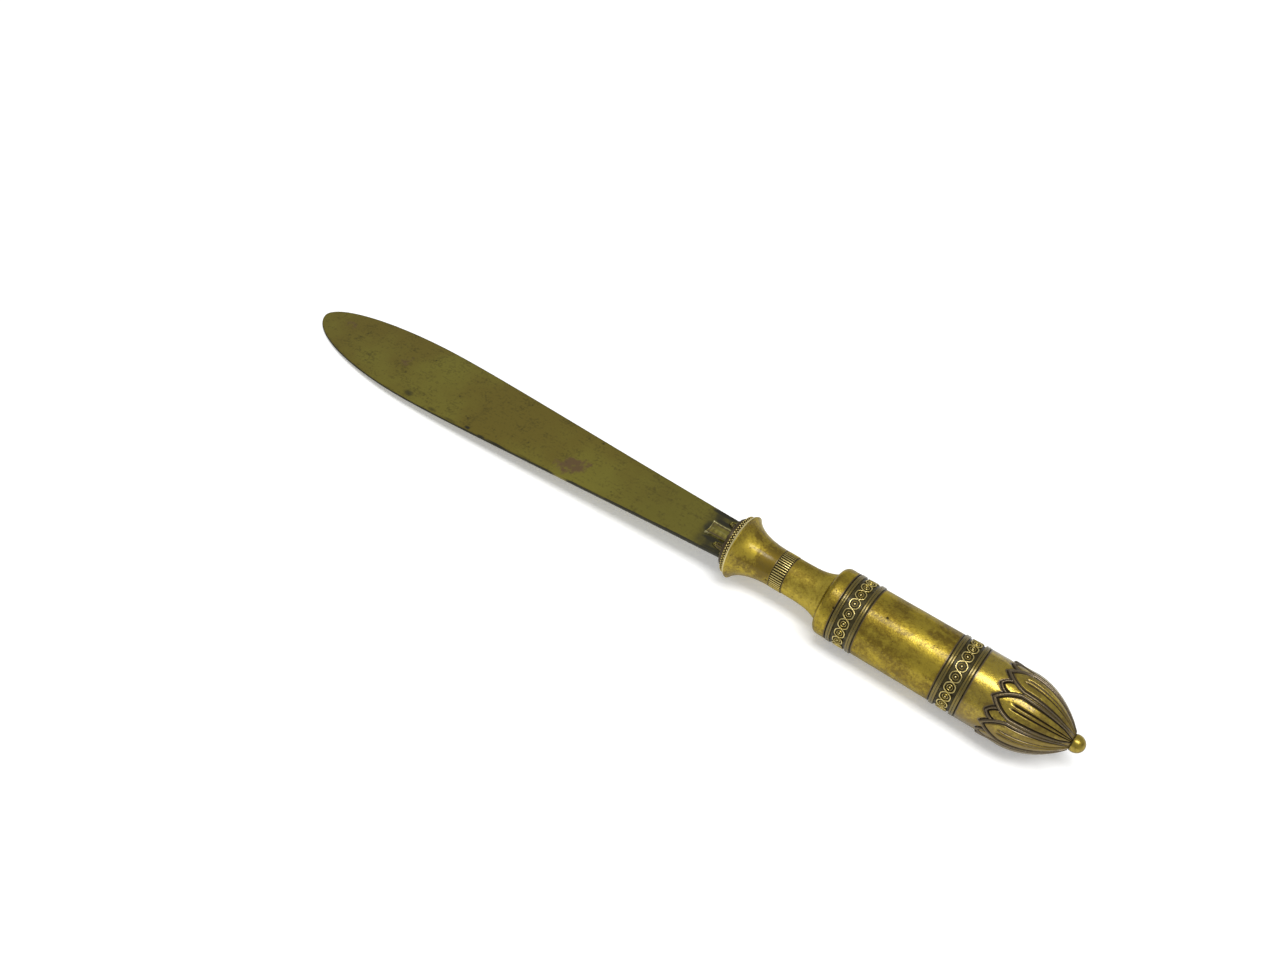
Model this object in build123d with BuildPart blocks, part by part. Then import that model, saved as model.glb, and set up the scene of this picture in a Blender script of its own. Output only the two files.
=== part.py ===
from build123d import *
import os
from math import asin, atan2, cos, hypot, radians, sin

# A brass letter opener: a leaf-shaped blade on a stacked, turned and chased brass handle.
# Millimetres, +Z up. X runs along the handle's axis, from the ball at its end to the blade's tip.
# The opener lies on a desk at z = 0, on the leaves of its bud and on the tip of its blade.

os.makedirs("parts", exist_ok=True)

# Lengths along the handle, from the ball to the blade
BALL_STANDOUT = 3.0
BUD_LENGTH = 23.4
REAR_BAND_WIDTH = 6.4
BARREL_LENGTH = 20.2
FRONT_BAND_WIDTH = 6.6
SHOULDER_LENGTH = 4.0
NECK_LENGTH = 10.7
REED_RING_WIDTH = 3.3
GUARD_LENGTH = 12.4
BLADE_LENGTH = 150.0

# Steps of the grip, from the barrel's bore outwards
BARREL_BORE = 13.8
BAND_SEAT_WALL = 0.9
BARREL_STEP = 0.75
BAND_WALL = 1.0
COLLAR_STEP = 0.1
LEAF_RELIEF = 0.45

# Diameters of the turned pieces
BALL_DIAMETER = 4.2
BUD_END_DIAMETER = 4.6
NECK_DIAMETER = 9.6
NECK_FLARE_DIAMETER = 12.8
REED_RING_DIAMETER = 9.8
GUARD_WAIST_DIAMETER = 9.8
GUARD_RIM_DIAMETER = 16.9
GUARD_NOSE_DIAMETER = 14.0

# Curves of the turned pieces
SHOULDER_ROUND = 1.6
NECK_STRAIGHT_RUN = 7.0
NECK_FLARE_RUN = 3.0
NECK_FLARE_RISE = 0.2
GUARD_NOSE_LENGTH = 1.1
RIM_ROUND = 0.9
BELL_LIP_RUN = 1.2
BELL_LIP_DROP = 1.9
BELL_SWEEP = 4.5
BUD_NOSE_RUN = 3.0
BUD_NOSE_RISE = 3.8
BUD_SWELL_RUN = 8.0
BUD_CROWN_RUN = 13.0

# Ornament
BAND_FILLET_WIDTH = 1.45
BAND_CHAMFER = 0.2
BAND_FIELD_DEPTH = 0.45
ROSETTE_COUNT = 20
ROSETTE_DIAMETER = 2.5
ROSETTE_LINE = 0.4
ROSETTE_DOT = 0.9
ROSETTE_RELIEF = 0.32
ROSETTE_ROOT = 0.15
REED_COUNT = 48
REED_GROOVE_DIAMETER = 0.4
BEAD_COUNT = 64
BEAD_DIAMETER = 0.72
BEAD_WIRE_HEIGHT = 0.45
BEAD_WIRE_WIDTH = 0.84
LEAF_COUNT = 8
LEAF_TURN = 31.0
LEAF_LENGTH = 18.2
LEAF_END_WIDTH = 1.2
LEAF_LOWER_SPREAD = 3.6
LEAF_UPPER_SPREAD = 6.4
LEAF_LOWER_RUN = 5.0
LEAF_UPPER_RUN = 13.4
SMALL_LEAF_LENGTH = 10.0
SMALL_LEAF_WIDTH = 7.0
SMALL_LEAF_SINK = 0.25

# Blade
BLADE_WIDTH = 21.4
BLADE_ROOT_WIDTH = 11.2
BELLY_FROM_TIP = 44.0
BELLY_EASE = 20.0
ROOT_EASE = 48.0
ROOT_SPREAD = 2.2
TIP_OFFSET = 1.4
BLADE_ROOT_THICKNESS = 1.8
BLADE_TIP_THICKNESS = 0.8
BLADE_EDGE_SHARE = 0.45
BLADE_FLAT_WIDTH = 8.0
BLADE_TUCK = 1.0

# Petal collar that clasps the root of the blade
COLLAR_PLATE = 0.9
COLLAR_PLATE_DIAMETER = 13.0
TONGUE_LENGTH = 9.0
TONGUE_END_WIDTH = 4.8
TONGUE_WAIST_WIDTH = 3.9
TONGUE_TIP_HOLLOW = 0.5
TONGUE_HEIGHT = 1.1
SIDE_PETAL_LENGTH = 4.6
SIDE_PETAL_WIDTH = 2.3
SIDE_PETAL_HEIGHT = 0.7
SIDE_PETAL_GAP = 0.15
PETAL_RECESS = 0.2

# Rod, tang and the spigots that centre the stack
FORK_DIAMETER = 5.6
FORK_SETBACK = 1.5
FORK_ROOT = 3.0
ROD_DIAMETER = 4.0
STUD_DIAMETER = 2.0
STUD_REACH = 1.9
TANG_WIDTH = 4.4
TANG_THICKNESS = 1.2
TANG_PIN_DIAMETER = 1.4
TANG_PIN_EDGE = 3.0
TANG_PIN_SPACING = 8.0
TANG_PIN_SINK = 0.15
NECK_FLOOR = 1.5
NECK_SPIGOT_DIAMETER = 7.7
NECK_SPIGOT_REACH = 3.0
NECK_TAIL_DIAMETER = 7.9
NECK_TAIL_REACH = 3.0
BARREL_SPIGOT_REACH = 4.0
BUD_FLOOR = 3.0

# Clearances
SLIP = 0.05
END_GAP = 0.1
PIN_GAP = 0.02
FLOOR_GAP = 0.02
PETAL_GAP = 0.05

# Radii of the grip: the seat of the bands, the barrel, the bands, the plain collars and the leaves
BAND_SEAT = BARREL_BORE / 2 + BAND_SEAT_WALL
BARREL_RADIUS = BAND_SEAT + BARREL_STEP
BAND_CREST = BAND_SEAT + BAND_WALL
COLLAR_RADIUS = BAND_CREST - COLLAR_STEP
LEAF_CREST = COLLAR_RADIUS + LEAF_RELIEF

# Stations along X, with the whole opener centred on x = 0
HANDLE_LENGTH = (
    BALL_STANDOUT + BUD_LENGTH + REAR_BAND_WIDTH + BARREL_LENGTH + FRONT_BAND_WIDTH
    + SHOULDER_LENGTH + NECK_LENGTH + REED_RING_WIDTH + GUARD_LENGTH
)
AXIS_HEIGHT = LEAF_CREST
TIP_HALF = BLADE_TIP_THICKNESS / 2
DROOP = asin(AXIS_HEIGHT / hypot(BLADE_LENGTH, TIP_HALF)) - atan2(TIP_HALF, BLADE_LENGTH)
BLADE_REACH = BLADE_LENGTH * cos(DROOP) + TIP_HALF * sin(DROOP)
BALL_END_X = -(HANDLE_LENGTH + BLADE_REACH) / 2
BUD_REAR_X = BALL_END_X + BALL_STANDOUT
REAR_BAND_X = BUD_REAR_X + BUD_LENGTH
BARREL_X = REAR_BAND_X + REAR_BAND_WIDTH
FRONT_BAND_X = BARREL_X + BARREL_LENGTH
SHOULDER_X = FRONT_BAND_X + FRONT_BAND_WIDTH
NECK_X = SHOULDER_X + SHOULDER_LENGTH
REED_RING_X = NECK_X + NECK_LENGTH
GUARD_X = REED_RING_X + REED_RING_WIDTH
GUARD_FACE_X = GUARD_X + GUARD_LENGTH
BLADE_ROOT_X = GUARD_FACE_X + COLLAR_PLATE
FORK_FRONT_X = GUARD_FACE_X - FORK_SETBACK
FORK_REAR_X = NECK_X + NECK_FLOOR
SLOT_END_X = FORK_REAR_X + FORK_ROOT
TANG_END_X = SLOT_END_X + END_GAP
ROD_SHOULDER_X = BUD_REAR_X + BUD_FLOOR
STUD_END_X = BUD_REAR_X - STUD_REACH
TANG_PIN_SPOTS = [
    (TANG_END_X + TANG_PIN_EDGE, 0),
    (TANG_END_X + TANG_PIN_EDGE + TANG_PIN_SPACING, 0),
]

# Radii shared by pieces that fit each other
FORK_BORE = FORK_DIAMETER / 2 + SLIP
ROD_BORE = ROD_DIAMETER / 2 + SLIP
STUD_BORE = STUD_DIAMETER / 2 + SLIP
SPIGOT_BORE = NECK_SPIGOT_DIAMETER / 2 + SLIP
BARREL_SPIGOT = BARREL_BORE / 2 - SLIP
BAND_BORE = BAND_SEAT + SLIP
NECK_TAIL_BORE = NECK_TAIL_DIAMETER / 2 + SLIP

# Planes: the handle's half profile, and the drooping blade's own plane
PROFILE = Plane(origin=(0, 0, AXIS_HEIGHT), x_dir=(1, 0, 0), z_dir=(0, -1, 0))
HANDLE_AXIS = Axis((0, 0, AXIS_HEIGHT), (1, 0, 0))
BLADE_PLANE = Plane(
    origin=(GUARD_FACE_X, 0, AXIS_HEIGHT),
    x_dir=(cos(DROOP), 0, -sin(DROOP)),
    z_dir=(sin(DROOP), 0, cos(DROOP)),
)


def across(x):
    """Plane square to the handle's axis at x, with its own x along Y and its own y along Z."""
    return Plane(origin=(x, 0, AXIS_HEIGHT), x_dir=(0, 1, 0), z_dir=(1, 0, 0))


def outward(x, radius, turn):
    """Plane that faces away from the handle's axis, turned about it by some degrees from straight up."""
    side = sin(radians(turn))
    up = cos(radians(turn))
    return Plane(
        origin=(x, radius * side, AXIS_HEIGHT + radius * up), x_dir=(1, 0, 0), z_dir=(0, side, up)
    )


def blade_station(along):
    """Plane square to the blade at a distance along it, with its own y along the blade's normal."""
    station = BLADE_PLANE.from_local_coords((along, 0, 0))
    return Plane(origin=station, x_dir=(0, 1, 0), z_dir=BLADE_PLANE.x_dir)


def turns(count, first):
    """Angles of a ring of equal steps, in degrees."""
    return [first + 360 * step / count for step in range(count)]


def blade_thickness(along):
    """Thickness of the blade's flat at a distance from the guard."""
    return BLADE_ROOT_THICKNESS + (BLADE_TIP_THICKNESS - BLADE_ROOT_THICKNESS) * along / BLADE_LENGTH


def finish(piece, label):
    """Name a finished piece and write it as one file."""
    piece.part.label = label
    export_step(piece.part, f"parts/{label}.step")


def on_blade(side, height, face):
    """Plane over one face of the blade: 1 for the upper face, -1 for the lower one."""
    return Plane(
        origin=BLADE_PLANE.from_local_coords((0, side, face * height)),
        x_dir=BLADE_PLANE.x_dir,
        z_dir=BLADE_PLANE.z_dir * face,
    )


def tongue_outline(height, face, margin):
    """Flared tongue with hollow sides, drawn from inside the collar plate."""
    end = TONGUE_END_WIDTH / 2 + margin
    waist = TONGUE_WAIST_WIDTH / 2 + margin
    reach = TONGUE_LENGTH + margin
    with BuildSketch(on_blade(0, height, face)) as outline:
        with BuildLine():
            side = ThreePointArc((0, end), (reach / 2, waist), (reach, end))
            tip = ThreePointArc(side @ 1, (reach - TONGUE_TIP_HOLLOW, 0), (reach, -end))
            back = ThreePointArc(tip @ 1, (reach / 2, -waist), (0, -end))
            Line(back @ 1, side @ 0)
        make_face()
    return outline.sketch


def side_petal_outlines(height, face, margin):
    """Half-oval petals on both sides of the tongue, drawn from inside the collar plate."""
    centre = (TONGUE_END_WIDTH + SIDE_PETAL_WIDTH) / 2 + SIDE_PETAL_GAP
    half = SIDE_PETAL_WIDTH / 2 + margin
    with BuildSketch(on_blade(-centre, height, face), on_blade(centre, height, face)) as outline:
        with BuildLine():
            petal = EllipticalCenterArc((0, 0), SIDE_PETAL_LENGTH + margin, half, -90, arc_size=180)
            Line(petal @ 1, petal @ 0)
        make_face()
    return outline.sketch


def bud_profile(sink):
    """Half profile of the bud, sunk below its leaf crests, from its rear end to its leaf tips."""
    end = BUD_END_DIAMETER / 2 - sink
    crown = LEAF_CREST - sink
    tip_x = BUD_REAR_X + LEAF_LENGTH + END_GAP
    with BuildSketch(PROFILE) as profile:
        with BuildLine():
            swell = Bezier(
                (BUD_REAR_X, end),
                (BUD_REAR_X + BUD_NOSE_RUN, end + BUD_NOSE_RISE),
                (BUD_REAR_X + BUD_SWELL_RUN, crown),
                (BUD_REAR_X + BUD_CROWN_RUN, crown),
            )
            Polyline(swell @ 1, (tip_x, crown), (tip_x, 0), (BUD_REAR_X, 0), swell @ 0)
        make_face()
    return profile.sketch


def leaf_ring(first_turn, start, root_half, lower, upper, sink):
    """Ring of pointed leaves on the bud, whose sides follow two control points, lower and upper."""
    planes = [outward(BUD_REAR_X, 0, turn) for turn in turns(LEAF_COUNT, first_turn)]
    with BuildPart() as ring:
        with BuildSketch(*planes):
            with BuildLine():
                for hand in (1, -1):
                    side = Bezier(
                        (start, hand * root_half),
                        (lower[0], hand * lower[1]),
                        (upper[0], hand * upper[1]),
                        (LEAF_LENGTH, 0),
                    )
                    Line((start, 0), side @ 0)
            make_face()
        extrude(amount=2 * LEAF_CREST)
        add(revolve(bud_profile(sink), axis=HANDLE_AXIS, mode=Mode.PRIVATE), mode=Mode.INTERSECT)
    return ring.part


def guilloche_band(x, width):
    """Ornamental ring: two fillets, and between them a sunk field with a row of rosettes."""
    field = BAND_CREST - BAND_FIELD_DEPTH
    rosette = ROSETTE_DIAMETER / 2
    planes = [outward(x + width / 2, field - ROSETTE_ROOT, turn) for turn in turns(ROSETTE_COUNT, 0)]
    with BuildPart() as band:
        with BuildSketch(PROFILE):
            Polygon(
                (x, BAND_BORE),
                (x, BAND_CREST - BAND_CHAMFER),
                (x + BAND_CHAMFER, BAND_CREST),
                (x + BAND_FILLET_WIDTH - BAND_CHAMFER, BAND_CREST),
                (x + BAND_FILLET_WIDTH, field),
                (x + width - BAND_FILLET_WIDTH, field),
                (x + width - BAND_FILLET_WIDTH + BAND_CHAMFER, BAND_CREST),
                (x + width - BAND_CHAMFER, BAND_CREST),
                (x + width, BAND_CREST - BAND_CHAMFER),
                (x + width, BAND_BORE),
                align=None,
            )
        revolve(axis=HANDLE_AXIS)
        with BuildSketch(*planes):
            Circle(rosette)
            Circle(rosette - ROSETTE_LINE, mode=Mode.SUBTRACT)
            Circle(ROSETTE_DOT / 2)
        extrude(amount=ROSETTE_ROOT + ROSETTE_RELIEF)
    return band


# Bar that the blade is cut from: flat in its middle, thinning to its edges and to its tip
with BuildPart() as blade_bar:
    for along in (-BLADE_TUCK, BLADE_LENGTH + BLADE_TUCK):
        flat = blade_thickness(along) / 2
        bar_side = BLADE_WIDTH / 2 + BLADE_TUCK
        with BuildSketch(blade_station(along)):
            with BuildLine():
                level = Line((0, flat), (BLADE_FLAT_WIDTH / 2, flat))
                fall = TangentArc(level @ 1, (bar_side, flat * BLADE_EDGE_SHARE), tangent=level % 1)
                Line(fall @ 1, (bar_side, 0))
                mirror(about=Plane.XZ)
                mirror(about=Plane.YZ)
            make_face()
    loft(ruled=True)

# Blade: leaf outline cut from the bar, with recesses for the petals and a tang behind
belly = BLADE_LENGTH - BELLY_FROM_TIP
half_width = BLADE_WIDTH / 2
recess_floor = BLADE_ROOT_THICKNESS / 2 - PETAL_RECESS
with BuildPart() as blade:
    with BuildSketch(BLADE_PLANE):
        with BuildLine():
            for hand in (1, -1):
                root = hand * BLADE_ROOT_WIDTH / 2
                spread = root + hand * ROOT_SPREAD
                edge = hand * half_width
                Polyline((-BLADE_TUCK, 0), (-BLADE_TUCK, root), (0, root))
                Bezier((0, root), (ROOT_EASE, spread), (belly - BELLY_EASE, edge), (belly, edge))
            tip_centre = (belly, -TIP_OFFSET)
            EllipticalCenterArc(tip_centre, BELLY_FROM_TIP, half_width + TIP_OFFSET, 0, arc_size=90)
            EllipticalCenterArc(tip_centre, BELLY_FROM_TIP, half_width - TIP_OFFSET, -90, arc_size=90)
        make_face()
    extrude(amount=BLADE_ROOT_THICKNESS, both=True)
    add(blade_bar.part, mode=Mode.INTERSECT)
    split(bisect_by=across(BLADE_ROOT_X), keep=Keep.TOP)
    for face in (1, -1):
        for outline in (tongue_outline, side_petal_outlines):
            extrude(
                outline(recess_floor, face, PETAL_GAP), amount=BLADE_ROOT_THICKNESS, mode=Mode.SUBTRACT
            )
    with BuildSketch(across(TANG_END_X)):
        Rectangle(TANG_WIDTH, TANG_THICKNESS)
    extrude(amount=BLADE_ROOT_X - TANG_END_X)
    with BuildSketch(Plane.XY):
        with Locations(*TANG_PIN_SPOTS):
            Circle(TANG_PIN_DIAMETER / 2 + PIN_GAP)
    extrude(amount=2 * AXIS_HEIGHT, mode=Mode.SUBTRACT)
finish(blade, "blade")

# Root collar: slotted plate in front of the guard, with a tongue and two petals on each face
seat = recess_floor + FLOOR_GAP
with BuildPart() as root_collar:
    with BuildSketch(across(GUARD_FACE_X)):
        Circle(COLLAR_PLATE_DIAMETER / 2)
    extrude(amount=COLLAR_PLATE)
    for face in (1, -1):
        extrude(tongue_outline(seat, face, 0), amount=TONGUE_HEIGHT)
        extrude(side_petal_outlines(seat, face, 0), amount=SIDE_PETAL_HEIGHT)
    split(bisect_by=across(GUARD_FACE_X), keep=Keep.TOP)
    with BuildSketch(across(GUARD_FACE_X)):
        Rectangle(TANG_WIDTH + 2 * SLIP, TANG_THICKNESS + 2 * SLIP)
    extrude(amount=COLLAR_PLATE, mode=Mode.SUBTRACT)
finish(root_collar, "root_collar")

# Bell guard: nose, thin rounded rim, and a hollow bell down to the waist
nose = GUARD_NOSE_DIAMETER / 2
rim = GUARD_RIM_DIAMETER / 2
waist = GUARD_WAIST_DIAMETER / 2
flange_x = GUARD_FACE_X - GUARD_NOSE_LENGTH
crest_x = flange_x - RIM_ROUND
socket_x = GUARD_X + NECK_SPIGOT_REACH + END_GAP
with BuildPart() as bell_guard:
    with BuildSketch(PROFILE):
        with BuildLine():
            front = Polyline(
                (socket_x, FORK_BORE),
                (GUARD_FACE_X, FORK_BORE),
                (GUARD_FACE_X, nose),
                (flange_x, nose),
                (flange_x, rim - RIM_ROUND),
            )
            CenterArc((crest_x, rim - RIM_ROUND), RIM_ROUND, 0, 90)
            bell = Bezier(
                (crest_x, rim),
                (crest_x - BELL_LIP_RUN, rim - BELL_LIP_DROP),
                (crest_x - BELL_SWEEP, waist),
                (GUARD_X, waist),
            )
            Polyline(bell @ 1, (GUARD_X, SPIGOT_BORE), (socket_x, SPIGOT_BORE), front @ 0)
        make_face()
    revolve(axis=HANDLE_AXIS)
finish(bell_guard, "bell_guard")

# Bead ring: a flat wire round the guard's nose that carries a row of beads
wire_bore = nose + SLIP
wire_rim = wire_bore + BEAD_WIRE_HEIGHT
bead_x = flange_x + BEAD_WIRE_WIDTH / 2
with BuildPart() as bead_ring:
    with BuildSketch(across(bead_x)):
        Circle(wire_rim)
        Circle(wire_bore, mode=Mode.SUBTRACT)
    extrude(amount=BEAD_WIRE_WIDTH / 2, both=True)
    with Locations(*[outward(bead_x, wire_rim, turn) for turn in turns(BEAD_COUNT, 0)]):
        Sphere(BEAD_DIAMETER / 2)
finish(bead_ring, "bead_ring")

# Reeded ring: a narrow ring with round grooves along it, over the neck's spigot
reed_crest = REED_RING_DIAMETER / 2
with BuildPart() as reeded_ring:
    with BuildSketch(across(REED_RING_X)):
        Circle(reed_crest)
        with PolarLocations(reed_crest, REED_COUNT):
            Circle(REED_GROOVE_DIAMETER / 2, mode=Mode.SUBTRACT)
        Circle(SPIGOT_BORE, mode=Mode.SUBTRACT)
    extrude(amount=REED_RING_WIDTH)
finish(reeded_ring, "reeded_ring")

# Trumpet neck: flares into the shoulder, with a spigot in front and a tail behind
neck = NECK_DIAMETER / 2
flare = NECK_FLARE_DIAMETER / 2
spigot = NECK_SPIGOT_DIAMETER / 2
tail = NECK_TAIL_DIAMETER / 2
spigot_x = GUARD_X + NECK_SPIGOT_REACH
tail_x = NECK_X - NECK_TAIL_REACH
fork_floor_x = FORK_REAR_X - END_GAP
with BuildPart() as trumpet_neck:
    with BuildSketch(PROFILE):
        with BuildLine():
            front = Polyline(
                (fork_floor_x, FORK_BORE),
                (spigot_x, FORK_BORE),
                (spigot_x, spigot),
                (REED_RING_X, spigot),
                (REED_RING_X, neck),
            )
            trumpet = Bezier(
                front @ 1,
                (REED_RING_X - NECK_STRAIGHT_RUN, neck),
                (NECK_X + NECK_FLARE_RUN, neck + NECK_FLARE_RISE),
                (NECK_X, flare),
            )
            Polyline(
                trumpet @ 1,
                (NECK_X, tail),
                (tail_x, tail),
                (tail_x, ROD_BORE),
                (fork_floor_x, ROD_BORE),
                front @ 0,
            )
        make_face()
    revolve(axis=HANDLE_AXIS)
finish(trumpet_neck, "trumpet_neck")

# Shoulder cap: closes the front of the barrel and takes the neck's tail
round_root = COLLAR_RADIUS - SHOULDER_ROUND
spigot_end_x = SHOULDER_X - BARREL_SPIGOT_REACH
tail_floor_x = tail_x - END_GAP
with BuildPart() as shoulder_cap:
    with BuildSketch(PROFILE):
        with BuildLine():
            front = Polyline(
                (tail_floor_x, NECK_TAIL_BORE), (NECK_X, NECK_TAIL_BORE), (NECK_X, round_root)
            )
            corner = CenterArc((NECK_X - SHOULDER_ROUND, round_root), SHOULDER_ROUND, 0, 90)
            Polyline(
                corner @ 1,
                (SHOULDER_X, COLLAR_RADIUS),
                (SHOULDER_X, BARREL_SPIGOT),
                (spigot_end_x, BARREL_SPIGOT),
                (spigot_end_x, ROD_BORE),
                (tail_floor_x, ROD_BORE),
                front @ 0,
            )
        make_face()
    revolve(axis=HANDLE_AXIS)
finish(shoulder_cap, "shoulder_cap")

# Grip barrel: a tube, turned down at both ends to seat the two bands
with BuildPart() as grip_barrel:
    with BuildSketch(PROFILE):
        Polygon(
            (REAR_BAND_X, BARREL_BORE / 2),
            (REAR_BAND_X, BAND_SEAT),
            (BARREL_X, BAND_SEAT),
            (BARREL_X, BARREL_RADIUS),
            (FRONT_BAND_X, BARREL_RADIUS),
            (FRONT_BAND_X, BAND_SEAT),
            (SHOULDER_X, BAND_SEAT),
            (SHOULDER_X, BARREL_BORE / 2),
            align=None,
        )
    revolve(axis=HANDLE_AXIS)
finish(grip_barrel, "grip_barrel")

# The two bands on the barrel's ends
front_band = guilloche_band(FRONT_BAND_X, FRONT_BAND_WIDTH)
finish(front_band, "front_band")
rear_band = guilloche_band(REAR_BAND_X, REAR_BAND_WIDTH)
finish(rear_band, "rear_band")

# Leaf bud: plain collar and swelling bud, with large leaves and the tips of small ones between them
leaf_step = 360 / LEAF_COUNT
large_leaves = leaf_ring(
    LEAF_TURN,
    0,
    LEAF_END_WIDTH / 2,
    (LEAF_LOWER_RUN, LEAF_LOWER_SPREAD),
    (LEAF_UPPER_RUN, LEAF_UPPER_SPREAD),
    0,
)
small_start = LEAF_LENGTH - SMALL_LEAF_LENGTH
small_half = SMALL_LEAF_WIDTH / 2
small_leaves = leaf_ring(
    LEAF_TURN + leaf_step / 2,
    small_start,
    small_half,
    (small_start + SMALL_LEAF_LENGTH / 3, small_half),
    (LEAF_LENGTH - SMALL_LEAF_LENGTH / 3, small_half),
    SMALL_LEAF_SINK,
)
leaf_tip_x = BUD_REAR_X + LEAF_LENGTH
with BuildPart() as leaf_bud:
    revolve(bud_profile(LEAF_RELIEF), axis=HANDLE_AXIS)
    with BuildSketch(across(leaf_tip_x)):
        Circle(COLLAR_RADIUS)
    extrude(amount=REAR_BAND_X - leaf_tip_x)
    with BuildSketch(across(REAR_BAND_X)):
        Circle(BARREL_SPIGOT)
    extrude(amount=BARREL_SPIGOT_REACH)
    add(large_leaves)
    add(small_leaves)
    with BuildSketch(across(ROD_SHOULDER_X - END_GAP)):
        Circle(ROD_BORE)
    extrude(amount=BUD_LENGTH + BARREL_SPIGOT_REACH, mode=Mode.SUBTRACT)
    with BuildSketch(across(BUD_REAR_X)):
        Circle(STUD_BORE)
    extrude(amount=BUD_FLOOR, mode=Mode.SUBTRACT)
finish(leaf_bud, "leaf_bud")

# Ball finial: a ball nut with a flat seat on the end of the bud
ball = BALL_DIAMETER / 2
with BuildPart(across(BALL_END_X + ball)) as ball_finial:
    Sphere(ball)
    split(bisect_by=across(BUD_REAR_X), keep=Keep.BOTTOM)
    with BuildSketch(across(STUD_END_X - END_GAP)):
        Circle(STUD_BORE)
    extrude(amount=STUD_REACH + END_GAP, mode=Mode.SUBTRACT)
finish(ball_finial, "ball_finial")

# Tie rod: forked head that takes the tang, a plain rod, and a stud for the ball
with BuildPart() as tie_rod:
    with BuildSketch(across(FORK_REAR_X)):
        Circle(FORK_DIAMETER / 2)
    extrude(amount=FORK_FRONT_X - FORK_REAR_X)
    with BuildSketch(across(SLOT_END_X)):
        Rectangle(FORK_DIAMETER, TANG_THICKNESS + 2 * SLIP)
    extrude(amount=FORK_FRONT_X - SLOT_END_X, mode=Mode.SUBTRACT)
    with BuildSketch(Plane.XY):
        with Locations(*TANG_PIN_SPOTS):
            Circle(TANG_PIN_DIAMETER / 2 + PIN_GAP)
    extrude(amount=2 * AXIS_HEIGHT, mode=Mode.SUBTRACT)
    with BuildSketch(across(ROD_SHOULDER_X)):
        Circle(ROD_DIAMETER / 2)
    extrude(amount=FORK_REAR_X - ROD_SHOULDER_X)
    with BuildSketch(across(STUD_END_X)):
        Circle(STUD_DIAMETER / 2)
    extrude(amount=ROD_SHOULDER_X - STUD_END_X)
finish(tie_rod, "tie_rod")

# Tang pins: two rivets through fork and tang, just below the fork's surface
with BuildPart() as tang_pins:
    with BuildSketch(Plane.XY.offset(AXIS_HEIGHT)):
        with Locations(*TANG_PIN_SPOTS):
            Circle(TANG_PIN_DIAMETER / 2)
    extrude(amount=FORK_DIAMETER / 2 - TANG_PIN_SINK, both=True)
finish(tang_pins, "tang_pins")

# Core dowel: wooden filling of the barrel, bored for the rod
dowel_x = REAR_BAND_X + BARREL_SPIGOT_REACH + END_GAP
with BuildPart() as core_dowel:
    with BuildSketch(across(dowel_x)):
        Circle(BARREL_SPIGOT)
        Circle(ROD_BORE, mode=Mode.SUBTRACT)
    extrude(amount=spigot_end_x - END_GAP - dowel_x)
finish(core_dowel, "core_dowel")
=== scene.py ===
import logging
from abc import ABC, abstractmethod
from collections.abc import Callable, Iterable
from dataclasses import dataclass
from enum import Enum
from math import cos, pi, radians, sin
from typing import Any, ClassVar

import bmesh
import bpy
import numpy as np
from mathutils import Matrix, Vector


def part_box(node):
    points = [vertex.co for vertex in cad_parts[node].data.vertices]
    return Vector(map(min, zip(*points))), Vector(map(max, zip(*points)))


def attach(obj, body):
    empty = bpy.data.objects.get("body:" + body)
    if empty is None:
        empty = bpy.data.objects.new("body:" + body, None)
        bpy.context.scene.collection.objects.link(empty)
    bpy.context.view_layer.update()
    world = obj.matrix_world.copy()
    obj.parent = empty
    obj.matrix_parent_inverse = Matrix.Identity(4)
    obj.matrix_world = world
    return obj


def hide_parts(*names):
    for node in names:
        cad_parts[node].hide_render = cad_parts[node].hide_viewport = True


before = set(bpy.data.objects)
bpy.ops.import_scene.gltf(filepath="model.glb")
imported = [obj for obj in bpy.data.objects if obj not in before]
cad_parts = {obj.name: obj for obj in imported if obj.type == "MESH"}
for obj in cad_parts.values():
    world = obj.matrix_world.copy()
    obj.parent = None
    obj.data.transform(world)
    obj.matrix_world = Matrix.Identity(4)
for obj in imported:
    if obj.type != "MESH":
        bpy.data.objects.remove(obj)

# Sizes are in millimetres, and each mesh is made in metres.
MM = 0.001
AXIS_HEIGHT = 9.15
DROOP = radians(3.3444)
PLATE = 0.9
# Metres within which points are one point, and under which an edge has no length.
SAME_PLACE = 1e-7
NO_LENGTH = 1e-8
# The number stored on each point: above 0 in a dirty recess, below 0 on a rubbed crest or a rust stain.
HOLLOW = "hollow"

Array = np.ndarray
Colour = tuple[float, float, float]
Faces = list[tuple[int, ...]]
Pieces = list[bpy.types.Object]
Place = tuple[float, float, float]
Profile = list[tuple[float, float]]
Settings = dict[str, Any]
Sockets = dict[str | int, Any]
Spots = tuple[tuple[float, float, float, float, float], ...]

log = logging.getLogger("letter_opener")


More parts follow.
